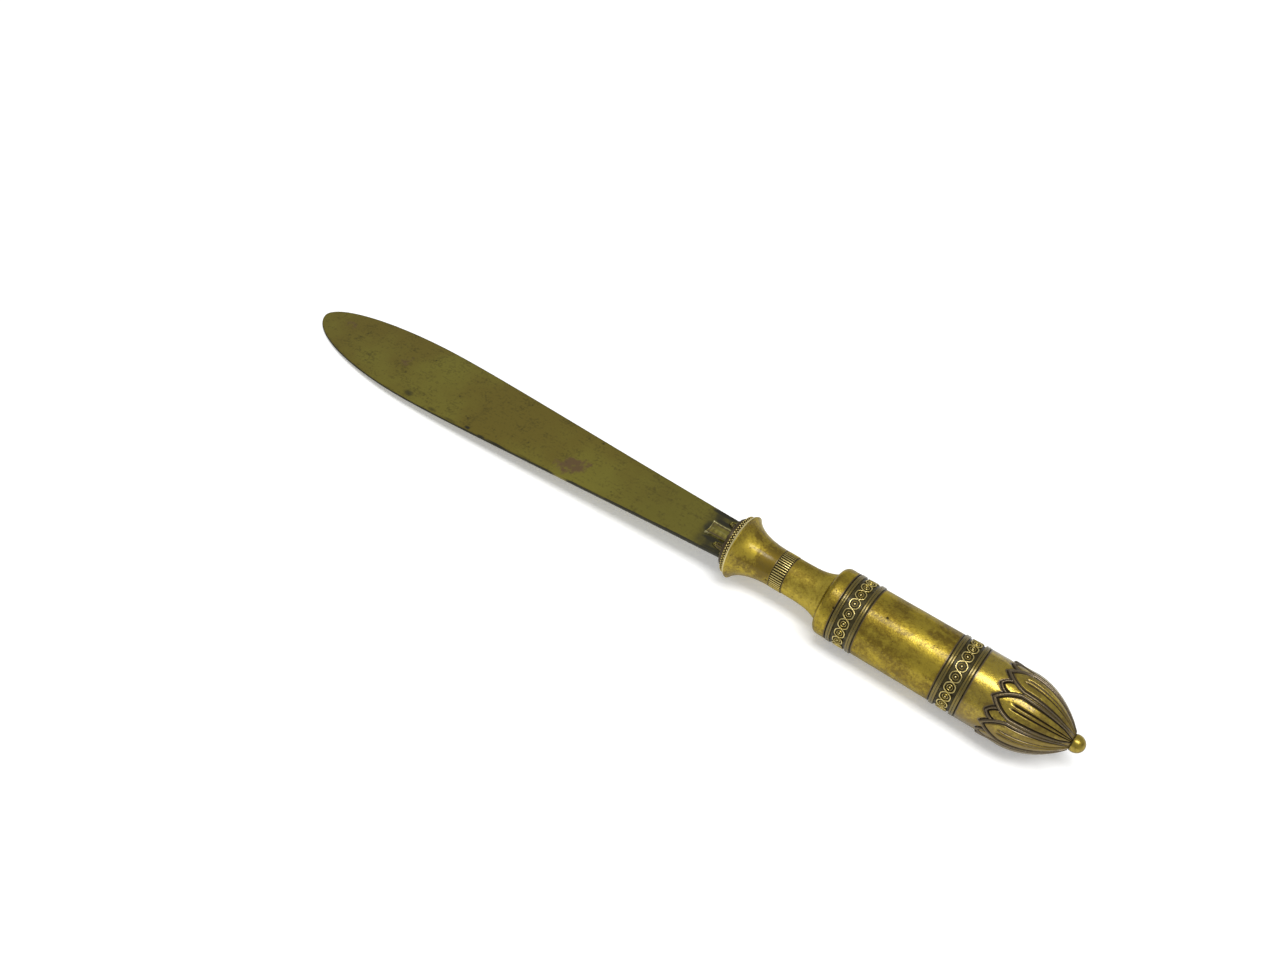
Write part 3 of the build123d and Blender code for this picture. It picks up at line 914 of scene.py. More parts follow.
@dataclass
class Blade(SubAssembly):
    """Leaf-shaped blade, flat in its middle and thin at its edges, with its tang."""

    node: ClassVar[str] = "blade"
    slot: ClassVar[str] = "blade_brass"
    length: float = 150.0
    width: float = 21.4
    root_width: float = 11.2
    belly_from_tip: float = 44.0
    belly_ease: float = 20.0
    root_ease: float = 48.0
    root_spread: float = 2.2
    tip_offset: float = 1.4
    root_thickness: float = 1.8
    tip_thickness: float = 0.8
    edge_share: float = 0.45
    flat_width: float = 8.0
    edge_round: float = 0.32
    tang: Place = (25.4, 4.4, 1.2)
    # Darkening towards the guard: where it ends, over what run, and how strong.
    root_darkening: tuple[float, float, float] = (12.0, 4.0, 0.64)
    root_dimming: tuple[float, float, float] = (48.0, 24.0, 0.27)
    dent_spots: Spots = ((71.0, 9.25, 4.0, 0.22, 0.1), (81.9, 8.95, 0.5, 0.4, 0.08))
    # Darker spots: the first five lie round the tongue and petals at the root, the rest along the +Y edge.
    dark_spots: Spots = (
        (6.2, -5.2, 4.6, 1.0, 0.9),
        (5.0, -2.9, 3.6, 0.7, 0.95),
        (4.6, 2.9, 4.4, 0.8, 0.95),
        (3.6, 5.3, 3.4, 1.0, 0.85),
        (8.5, 0.0, 1.0, 3.2, 0.8),
        (70.5, 9.15, 4.6, 0.35, 0.95),
        (62.0, 8.6, 2.5, 0.5, 0.5),
        (76.5, 9.4, 1.6, 0.5, 0.75),
        (81.9, 8.9, 0.7, 0.6, 0.95),
        (88.0, 9.6, 2.2, 0.45, 0.6),
        (95.0, 9.4, 1.5, 0.6, 0.55),
        (105.1, 8.5, 1.9, 1.0, 0.55),
    )
    rust_spots: Spots = (
        (48.2, 3.2, 3.8, 2.6, 0.62),
        (50.2, 7.0, 3.2, 2.0, 0.62),
        (47.0, 0.8, 2.8, 1.3, 0.42),
        (53.4, 5.2, 2.6, 1.2, 0.4),
        (139.5, -2.0, 5.5, 2.2, 0.38),
        (113.0, -1.0, 8.0, 3.2, 0.26),
    )

    def rows(self) -> tuple[Array, Array, Array]:
        """Outline of the blade.

        Returns:
            Distances along the blade, and the sides of its -Y edge and +Y edge there.
        """
        belly = self.length - self.belly_from_tip
        root, edge = self.root_width / 2, self.width / 2
        pulls = [(self.root_ease, root + self.root_spread), (belly - self.belly_ease, edge)]
        straight = np.linspace(PLATE / cos(DROOP), belly, 130)
        half = traced(straight, [(0.0, root), *pulls, (belly, edge)], 300)
        sweep = np.linspace(0.0, pi / 2, 80)[1:]
        along = np.concatenate([straight, belly + self.belly_from_tip * np.sin(sweep)])
        low = np.concatenate([-half, -self.tip_offset - (edge - self.tip_offset) * np.cos(sweep)])
        high = np.concatenate([half, -self.tip_offset + (edge + self.tip_offset) * np.cos(sweep)])
        return along, low, high

    def half_thickness(self, along: Array, side: Array) -> Array:
        """Half of the blade's thickness.

        Args:
            along: distances along the blade.
            side: distances to the side.

        Returns:
            The half thickness at each place, before the edge is rounded.
        """
        flat = (self.root_thickness + (self.tip_thickness - self.root_thickness) * along / self.length) / 2
        reach = self.width / 2 + 1.0 - self.flat_width / 2
        out = unit((np.abs(side) - self.flat_width / 2) / reach)
        return flat * (1.0 - (1.0 - self.edge_share) * out**2)

    def build(self) -> Pieces:
        """Build the blade as rows of closed sections, from its root to its tip.

        Returns:
            The blade with its tang.
        """
        rows, low, high = self.rows()
        share = np.sin(np.linspace(-pi / 2, pi / 2, 61))
        share = np.sign(share) * (1.0 - (1.0 - np.abs(share)) ** 1.15)
        columns = len(share)
        along = np.repeat(rows, columns)
        side = ((low + high)[:, None] / 2 + (high - low)[:, None] / 2 * share[None, :]).ravel()
        inset = np.minimum(side - np.repeat(low, columns), np.repeat(high, columns) - side)
        fall = unit(inset / self.edge_round)
        lift = self.half_thickness(along, side) * np.sqrt(unit(1.0 - (1.0 - fall) ** 2))
        hollow = np.maximum(0.95 * peak(inset, 0.0, 0.3), self.blackening(along, side))
        hollow = hollow - blotches(self.rust_spots, along, side)
        top = on_blade(along, side, lift - self.dents(along, side) * fall)
        bottom = on_blade(along, side, -lift)
        count = len(along)
        faces = quads(len(rows), columns, False, False)
        faces += [tuple(index + count for index in reversed(face)) for face in faces]
        faces += [(i + 1, i, i + count, i + 1 + count) for i in range(columns - 1)]
        shape = Shape(np.vstack([top, bottom]), faces, np.concatenate([hollow, hollow]))
        return [shape.with_shape(self.tang_shape()).piece("blade_leaf", sharp=40.0)]

    def blackening(self, along: Array, side: Array) -> Array:
        """How much the blade darkens towards near black.

        Args:
            along: distances along the blade.
            side: distances to the side.

        Returns:
            The darkening at each place, from 0 to 1.
        """
        made = blotches(self.dark_spots, along, side)
        for end, run, strength in (self.root_darkening, self.root_dimming):
            made = np.maximum(made, strength * unit((end - along) / run))
        return made

    def dents(self, along: Array, side: Array) -> Array:
        """Depth of a long nick and a dimple in the upper face, in millimetres."""
        spots = self.dent_spots
        return sum(deep * peak(along, a, run) * peak(side, b, out) for a, b, run, out, deep in spots)

    def tang_shape(self) -> Shape:
        """The tang, a plain bar that goes into the handle.

        Returns:
            The bar as a closed shape.
        """
        long, wide, thick = self.tang
        front = Station.of("bell_guard").front + PLATE
        signs = [(y, z) for y in (-1, 1) for z in (-1, 1)]
        corners = [
            (x, y * wide / 2, AXIS_HEIGHT + z * thick / 2) for x in (front - long, front) for y, z in signs
        ]
        faces = [(0, 1, 3, 2), (4, 6, 7, 5), (0, 4, 5, 1), (2, 3, 7, 6), (0, 2, 6, 4), (1, 5, 7, 3)]
        return Shape(np.array(corners), faces, np.full(8, 0.4))


@dataclass
class RootCollar(SubAssembly):
    """Plate in front of the guard, with a flared tongue and two petals on each face of the blade."""

    node: ClassVar[str] = "root_collar"
    slot: ClassVar[str] = "chased_brass"
    plate_radius: float = 6.5
    plate_bore: float = 2.3
    plate_hollow: float = 0.75
    tongue_root: float = 0.75
    tongue_length: float = 8.4
    tongue_end: float = 4.6
    tongue_waist: float = 4.3
    tongue_height: float = 0.95
    tongue_rim: tuple[float, float] = (0.36, 0.2)
    tongue_groove: tuple[float, float] = (0.74, 0.18)
    tip_hollow: float = 0.5
    ripples: float = 5.5
    petal_rim: tuple[float, float] = (0.28, 0.2)
    petal_root: float = 0.7
    petal_length: float = 4.6
    petal_width: float = 2.3
    petal_height: float = 0.65
    petal_gap: float = 0.15
    petal_run: float = 1.6
    seat: float = 0.72
    scallops: int = 30
    scallop_circle: float = 5.85

    def build(self) -> Pieces:
        """Build the plate with its tongues and petals, and the ring of scallops on its front.

        Returns:
            The plate with what stands on the blade, and the scallops.
        """
        rear = Station.of("bell_guard").front
        plate = Station(rear, rear + PLATE)
        profile = eased(plate.ring(self.plate_bore, self.plate_radius), 0.25)
        shape = turned(divided(profile, 0.8), self.plate_hollow)
        for face in (1.0, -1.0):
            shape = shape.with_shape(self.tongue(face))
            for hand in (1.0, -1.0):
                shape = shape.with_shape(self.petal(face, hand))
        ring = RingOfCopies(self.scallops)
        scallop = self.scallop(plate.front)
        return [shape.piece("collar_petals", sharp=60.0), ring.build(scallop, "collar_scallops", self.finish)]

    def tongue(self, face: float) -> Shape:
        """The flared tongue with a raised border, a spine and two horns.

        Args:
            face: 1 for the upper face of the blade, -1 for the lower one.

        Returns:
            A closed shape that stands on the blade.
        """
        columns = 37
        share, across = grid(44, columns)
        half = self.tongue_waist / 2 + (self.tongue_end - self.tongue_waist) / 2 * (2 * share - 1.0) ** 2
        reach = self.tongue_length - self.tip_hollow * (1.0 - across**2)
        along = self.tongue_root + (reach - self.tongue_root) * share
        edge = np.minimum((1.0 - np.abs(across)) * half, (1.0 - share) * self.tongue_length)
        wall = unit(edge / 0.12) ** 0.5
        rim = peak(edge, *self.tongue_rim)
        groove = peak(edge, *self.tongue_groove)
        spine = peak(across, 0.0, 0.2)
        horn = unit((share - 0.72) / 0.2) * unit((np.abs(across) - 0.55) / 0.3)
        wave = 2 * pi * self.ripples * share
        floor = 0.66 + 0.1 * peak(across, 0.0, 0.3) + 0.03 * np.cos(wave + 2.0 * across**2)
        body = np.maximum(rim * (0.86 + 0.06 * np.cos(wave)), floor * unit(edge / 0.45))
        height = self.seat + self.tongue_height * body * wall * (0.8 + 0.1 * share + 0.15 * horn)
        hollow = 1.0 - 0.88 * wall + 0.62 * groove
        # Painted highlight: the rim is made lighter on its -Y side than on its +Y side, and the horns lighter
        # still.
        hollow = hollow - 0.38 * rim * (1.0 - 0.5 * across) - 0.35 * horn - 0.25 * spine
        upper = on_blade(along, across * half, face * height)
        lower = on_blade(along, across * half, np.full_like(along, face * self.seat * 0.9))
        return closed_slab(upper, lower, columns, hollow)

    def petal(self, face: float, hand: float) -> Shape:
        """A pointed half-oval petal beside the tongue.

        Args:
            face: 1 for the upper face of the blade, -1 for the lower one.
            hand: 1 for the petal towards +Y, -1 for the other.

        Returns:
            A closed shape that stands on the blade.
        """
        columns = 23
        share, across = grid(26, columns)
        half = self.petal_width / 2 * np.sqrt(unit(1.0 - share**2))
        centre = (self.tongue_end + self.petal_width) / 2 + self.petal_gap
        along = self.petal_root + (self.petal_length - self.petal_root) * share
        side = hand * centre + across * half
        edge = np.minimum((1.0 - np.abs(across)) * half, (1.0 - share) * self.petal_run)
        body = np.maximum(peak(edge, *self.petal_rim), 0.35 + 0.4 * peak(across, 0.0, 0.22))
        body = body * unit(edge / 0.1) ** 0.5
        hollow = np.clip(1.1 - 1.1 * body, -0.1, 1.0)
        upper = on_blade(along, side, face * (self.seat + self.petal_height * body))
        lower = on_blade(along, side, np.full_like(along, face * self.seat * 0.85))
        return closed_slab(upper, lower, columns, hollow)

    def scallop(self, front: float) -> Shape:
        """One small scallop on the front of the plate.

        Args:
            front: where the plate's front lies along the handle.

        Returns:
            The scallop, at the top of its ring.
        """
        sunk, narrow = 0.06, 0.95
        rings = [(size, lift, 0.8 - 2.8 * lift) for size, lift in ((0.5, 0.0), (0.42, 0.22), (0.22, 0.34))]
        flat = bump(rings, 8, (0.38, -0.2))
        up, out, lift = flat.points.T
        points = np.column_stack([front - sunk + lift, narrow * out, self.scallop_circle + up])
        return Shape(points, flat.faces, flat.hollow)


@dataclass
class BeadRing(SubAssembly):
    """Fine bead wire round the nose of the guard, with two rows of staggered beads."""

    node: ClassVar[str] = "bead_ring"
    slot: ClassVar[str] = "chased_brass"
    beads: int = 64
    bead_radius: float = 0.26
    row_gap: float = 0.5
    wire_bore: float = 7.05
    wire_height: float = 0.45
    wire_hollow: float = 0.85

    def build(self) -> Pieces:
        """Build the wire and the two rows of beads on it.

        Returns:
            The wire and the beads.
        """
        place = Station.of(self.node)
        rim = self.wire_bore + self.wire_height
        wire = turned(divided(eased(place.ring(self.wire_bore, rim), 0.08, 2), 0.3), self.wire_hollow)
        bead = self.bead(place.middle - self.row_gap / 2, rim, 0.0)
        bead = bead.with_shape(self.bead(place.middle + self.row_gap / 2, rim, pi / self.beads))
        return [wire.piece("bead_wire"), RingOfCopies(self.beads).build(bead, "beads", self.finish)]

    def bead(self, x: float, height: float, turn: float) -> Shape:
        """One bead of few faces near the top of the ring.

        Args:
            x: its place along the handle.
            height: the distance of its middle from the axis.
            turn: its angle from the top, in radians.

        Returns:
            The bead as a closed shape.
        """
        level = np.repeat(np.radians([45.0, 90.0, 135.0]), 8)
        angle = np.tile(np.arange(8) * pi / 4, 3)
        out = np.concatenate([[0.0], self.bead_radius * np.sin(level), [0.0]])
        angle = np.concatenate([[0.0], angle, [0.0]])
        up = height + self.bead_radius * np.concatenate([[1.0], np.cos(level), [-1.0]])
        side = out * np.sin(angle)
        y = side * cos(turn) + up * sin(turn)
        z = up * cos(turn) - side * sin(turn)
        faces = [(0, 1 + step, 1 + (step + 1) % 8) for step in range(8)]
        faces += [tuple(index + 1 for index in face) for face in quads(3, 8, False, True)]
        faces += [(25, 17 + (step + 1) % 8, 17 + step) for step in range(8)]
        hollow = np.concatenate([[-0.4], np.repeat([-0.25, 0.6, 1.0], 8), [1.0]])
        return Shape(np.column_stack([x + out * np.cos(angle), y, z]), faces, hollow)


@dataclass
class BellGuard(TurnedPiece):
    """Trumpet-shaped guard with a thin rounded rim."""

    node: ClassVar[str] = "bell_guard"
    slot: ClassVar[str] = "worn_brass"
    title: ClassVar[str] = "guard_bell"
    seed: ClassVar[float] = 1.0
    nose_radius: float = 7.0
    nose_length: float = 1.1
    rim_radius: float = 8.45
    rim_round: float = 0.9
    waist: float = 4.9
    lip_run: float = 1.2
    lip_drop: float = 1.9
    sweep: float = 4.5
    bore: float = 2.85
    socket: float = 3.9
    socket_depth: float = 3.1
    dirty_to: float = 7.7
    rubbed_from: float = 7.9
    # Brown patches on the bell: the first two are painted shade, dimming the lamp's reflection on the waist and
    # painting a darker reflection lower down; the third darkens a small patch near its top.
    stains_and_shade: Spots = (
        (-39.6, 26.0, 2.8, 56.0, 0.3),
        (-36.2, 64.0, 3.6, 22.0, 0.19),
        (-36.0, -14.0, 2.6, 12.0, 0.14),
    )

    def corners(self) -> Profile:
        """Corners of the profile.

        Returns:
            The nose, the rim, the bell and the socket behind.
        """
        place = Station.of(self.node)
        flange = place.front - self.nose_length
        crest = flange - self.rim_round
        socket = place.rear + self.socket_depth
        made = [(socket, self.bore), (place.front, self.bore)]
        made += [(place.front, self.nose_radius), (flange, self.nose_radius)]
        made += arc((crest, self.rim_radius - self.rim_round), self.rim_round, range(0, 90, 10))
        lip = (crest - self.lip_run, self.rim_radius - self.lip_drop)
        pulls = [lip, (crest - self.sweep, self.waist)]
        made += curve([(crest, self.rim_radius), *pulls, (place.rear, self.waist)], 60)
        return made + [(place.rear, self.socket), (socket, self.socket)]

    def hollow(self, x: Array, radius: Array) -> Array:
        """Dirt where the guard meets the bead wire and the reeds, and a rim that is rubbed bright.

        Args:
            x: places along the handle.
            radius: distances from its axis.

        Returns:
            How deep in a hollow each place lies.
        """
        place = Station.of(self.node)
        flange = place.front - self.nose_length
        seam = peak(x, flange + 0.1, 0.3) * (radius < self.dirty_to)
        rim = peak(x, flange - 0.35, 0.3) * (radius > self.rubbed_from)
        return seam + 0.8 * peak(x, place.rear, 0.12) - 0.5 * rim


@dataclass
class ReededRing(SubAssembly):
    """Narrow ring of fine reeds between guard and neck."""

    node: ClassVar[str] = "reeded_ring"
    slot: ClassVar[str] = "chased_brass"
    reeds: int = 48
    crest: float = 4.9
    bore: float = 3.9
    reed_depth: float = 0.26
    reed_foot: float = 0.05
    reed_fill: float = 0.62
    end_run: float = 0.12
    end_height: float = 0.9
    lip: float = 0.06
    core_hollow: float = 1.0

    def build(self) -> Pieces:
        """Build the core and the reeds round it.

        Returns:
            The core and the reeds.
        """
        place = Station.of(self.node)
        corners = place.ring(self.bore, self.crest - self.reed_depth)
        core = turned(divided(eased(corners, 0.08, 3), 0.4), self.core_hollow)
        reed = self.reed(place.rear + self.lip, place.front - self.lip)
        return [core.piece("reed_core"), RingOfCopies(self.reeds).build(reed, "reeds", self.finish)]

    def reed(self, rear: float, front: float) -> Shape:
        """One half-round reed at the top of the ring.

        Args:
            rear: where it starts along the handle.
            front: where it ends.

        Returns:
            The reed as a closed shape.
        """
        half = pi * self.crest / self.reeds * self.reed_fill
        rise = self.reed_depth + self.reed_foot
        section = [(-1.0, 0.0), (-0.7, 0.8), (0.0, 1.0), (0.7, 0.8), (1.0, 0.0)]
        full = [(rear + self.end_run, 1.0), (front - self.end_run, 1.0)]
        points, hollow = [], []
        for x, share in [(rear, self.end_height), *full, (front, self.end_height)]:
            for side, lift in section:
                points.append((x, side * half, self.crest - rise + lift * rise * share))
                hollow.append(1.0 - 1.4 * lift * share)
        faces = quads(4, 5, False, True) + [(4, 3, 2, 1, 0), (15, 16, 17, 18, 19)]
        return Shape(np.array(points), faces, np.array(hollow))


@dataclass
class TrumpetNeck(TurnedPiece):
    """Plain neck that flares into the shoulder, with a spigot in front and a tail behind."""

    node: ClassVar[str] = "trumpet_neck"
    slot: ClassVar[str] = "worn_brass"
    title: ClassVar[str] = "neck_trumpet"
    seed: ClassVar[float] = 2.0
    ease: float = 0.1
    neck: float = 4.8
    flare: float = 6.4
    straight_run: float = 7.0
    flare_run: float = 3.0
    flare_rise: float = 0.2
    spigot: float = 3.85
    tail: float = 3.95
    fork_bore: float = 2.85
    rod_bore: float = 2.05
    floor: float = 1.4

    def corners(self) -> Profile:
        """Corners of the profile.

        Returns:
            The spigot, the trumpet and the tail, with the stepped bore.
        """
        place = Station.of(self.node)
        front, rear = Station.of("reeded_ring").rear, Station.of("shoulder_cap").front
        floor = rear + self.floor
        made = [(floor, self.fork_bore), (place.front, self.fork_bore)]
        made += [(place.front, self.spigot), (front, self.spigot)]
        pulls = [(front - self.straight_run, self.neck), (rear + self.flare_run, self.neck + self.flare_rise)]
        made += curve([(front, self.neck), *pulls, (rear, self.flare)], 50)
        made += [(rear, self.tail), (place.rear, self.tail)]
        return made + [(place.rear, self.rod_bore), (floor, self.rod_bore)]

    def hollow(self, x: Array, radius: Array) -> Array:
        """Dirt where the neck meets the reeded ring and the shoulder."""
        return near(x, [Station.of("reeded_ring").rear, Station.of("shoulder_cap").front], 0.25) * 0.8


@dataclass
class ShoulderCap(TurnedPiece):
    """Rounded plain cap at the front of the barrel."""

    node: ClassVar[str] = "shoulder_cap"
    slot: ClassVar[str] = "worn_brass"
    title: ClassVar[str] = "shoulder_round"
    seed: ClassVar[float] = 3.0
    radius: float = 8.7
    corner: float = 1.6
    tail_bore: float = 4.0
    tail_depth: float = 3.1
    spigot: float = 6.85
    rod_bore: float = 2.05
    dirty_to: float = 6.9

    def corners(self) -> Profile:
        """Corners of the profile.

        Returns:
            The rounded front, the seat of the band and the spigot, with the stepped bore.
        """
        place = Station.of(self.node)
        seat = Station.of("front_band").front
        floor = place.front - self.tail_depth
        made = [(floor, self.tail_bore), (place.front, self.tail_bore)]
        made += arc((place.front - self.corner, self.radius - self.corner), self.corner, range(0, 91, 6))
        made += [(seat, self.radius), (seat, self.spigot), (place.rear, self.spigot)]
        return made + [(place.rear, self.rod_bore), (floor, self.rod_bore)]

    def hollow(self, x: Array, radius: Array) -> Array:
        """Dirt where the cap meets the front band and the neck."""
        neck_seam = peak(x, Station.of(self.node).front, 0.25) * (radius < self.dirty_to)
        return np.maximum(peak(x, Station.of("front_band").front, 0.28), neck_seam)


@dataclass
class GripBarrel(TurnedPiece):
    """Plain barrel of the grip, turned down at both ends under the bands."""

    node: ClassVar[str] = "grip_barrel"
    slot: ClassVar[str] = "worn_brass"
    title: ClassVar[str] = "barrel_tube"
    seed: ClassVar[float] = 4.0
    ease: float = 0.15
    longest: float = 0.35
    wear: float = 0.022
    radius: float = 8.55
    seat: float = 7.8
    bore: float = 6.9
    stains_and_shade: Spots = (
        (-81.7, -2.0, 1.4, 5.0, 0.34),
        (-83.4, -7.0, 3.2, 7.0, 0.2),
        (-78.7, 84.0, 1.3, 5.0, 0.36),
        (-71.5, 50.0, 4.5, 8.0, 0.16),
    )

    def corners(self) -> Profile:
        """Corners of the profile.

        Returns:
            The tube, with a seat for a band at each end.
        """
        rear_bore, rear_seat, front_seat, front_bore = Station.of(self.node).ring(self.bore, self.seat)
        bare = Station(Station.of("rear_band").front, Station.of("front_band").rear)
        return [rear_bore, rear_seat, *bare.ring(self.seat, self.radius), front_seat, front_bore]

    def hollow(self, x: Array, radius: Array) -> Array:
        """Dirt where the barrel meets the bands."""
        return near(x, [Station.of("rear_band").front, Station.of("front_band").rear], 0.3) * 0.9


@dataclass
class GuillocheBand(SubAssembly):
    """Ring with two grooved fillets, and between them rosettes linked by two crossing waves."""

    slot: ClassVar[str] = "chased_brass"
    place: BandPlace
    bore: float = 7.85
    crest: float = 8.8
    fillet: float = 1.45
    field_depth: float = 0.45
    rosettes: int = 20
    ring_radius: float = 0.63
    line: float = 0.22
    dot: float = 0.34
    wave_height: float = 1.2
    wave_round: float = 1.9
    wave_lift: float = 0.05
    relief: float = 0.32
    weld: float = 1e-7

    @property
    def node(self) -> str:
        """The CAD node that the band stands for."""
        return self.place.value

    def build(self) -> Pieces:
        """Build the ring and the guilloche on its field.

        Returns:
            The ring and its ornament.
        """
        ends = Station.of(self.node)
        copies = RingOfCopies(self.rosettes, weld=self.weld)
        ornament = copies.build(self.rosette(ends.middle), f"{self.node}_guilloche", self.finish)
        return [self.ring(ends).piece(f"{self.node}_ring", sharp=60.0), ornament]

    def ring(self, ends: Station) -> Shape:
        """The ring with its fillets.

        Args:
            ends: where it lies along the handle.

        Returns:
            The turned ring.
        """
        steps = [(0.0, -0.3), (0.12, -0.3), (0.2, -0.06), (0.28, 0.0), (0.62, 0.0), (0.7, -0.06)]
        steps += [(0.76, -0.14), (0.82, -0.06), (0.9, 0.0), (1.18, 0.0), (1.26, -0.06)]
        steps += [(self.fillet - 0.08, -self.field_depth)]
        left = [(ends.rear + run, self.crest + drop) for run, drop in steps]
        right = [(ends.front - run, self.crest + drop) for run, drop in reversed(steps)]
        corners = [(ends.rear, self.bore), *left, *right, (ends.front, self.bore)]
        return turned(divided(eased(corners, 0.05, 3), 0.3), self.ring_hollow)

    def ring_hollow(self, x: Array, radius: Array) -> Array:
        """Brown fillets, with dirt on the field and in the grooves."""
        return 0.41 + unit((self.crest - 0.02 - radius) / 0.2) * 0.41

    def rosette(self, middle: float) -> Shape:
        """One rosette with the two arches of the waves that pass it.

        Args:
            middle: the place of the field's middle along the handle.

        Returns:
            The ornament of one step of the ring, at the top and with its height from the axis.
        """
        ground = self.crest - self.field_depth
        pitch = 2 * pi * ground / self.rosettes
        foot, half, edge = -0.08, self.line / 2, self.relief * 0.75
        bar = [(-half * 1.5, foot), (-half, edge), (0.0, self.relief), (half, edge), (half * 1.5, foot)]
        angle = np.arange(24) * 2 * pi / 24
        loop = self.ring_radius * np.column_stack([np.cos(angle), np.sin(angle), np.zeros(24)])
        shape = self.dome().with_shape(self.strip(loop, bar, True))
        u = pitch / 2 * np.sin(np.linspace(-pi / 2, pi / 2, 21))
        bow = 1.0 - (1.0 - np.cos(pi * u / pitch)) ** self.wave_round
        strand = [(-0.2, foot), (-0.15, 0.24), (-0.09, 0.31), (0.09, 0.31), (0.15, 0.24), (0.2, foot)]
        for hand in (1.0, -1.0):
            lift = hand * self.wave_lift * u / (pitch / 2)
            arch = np.column_stack([u, hand * self.wave_height * bow, lift])
            shape = shape.with_shape(self.strip(arch, strand, False))
        turn = shape.points[:, 0] / ground
        radius = ground + shape.points[:, 2]
        wrapped = np.column_stack([middle + shape.points[:, 1], radius * np.sin(turn), radius * np.cos(turn)])
        return Shape(wrapped, shape.faces, shape.hollow)

    def strip(self, path: Array, section: Profile, closed: bool) -> Shape:
        """Raised line along a path on the flat field.

        Args:
            path: places round and along the field, and the lift there.
            section: the line's section as offset and height.
            closed: whether the path is a loop.

        Returns:
            The line, left open where an open path ends and the next copy goes on.
        """
        ahead = np.roll(path, -1, 0) - np.roll(path, 1, 0)
        if not closed:
            ahead[0], ahead[-1] = path[1] - path[0], path[-1] - path[-2]
        ahead = ahead[:, :2] / np.linalg.norm(ahead[:, :2], axis=1)[:, None]
        points, hollow = [], []
        for (u, v, lift), (run, climb) in zip(path, ahead):
            for offset, height in section:
                points.append((u - climb * offset, v + run * offset, lift + height))
                hollow.append(1.0 - 1.25 * height / self.relief)
        return Shape(np.array(points), quads(len(path), len(section), closed, True), np.array(hollow))

    def dome(self) -> Shape:
        """The round dot in the middle of a rosette.

        Returns:
            The dot as a closed shape.
        """
        steps = ((1.0, -0.08), (0.85, 0.18), (0.5, 0.29))
        rings = [(self.dot * size, up, 1.0 - 1.4 * up / self.relief) for size, up in steps]
        return bump(rings, 10, (0.33, -0.4))


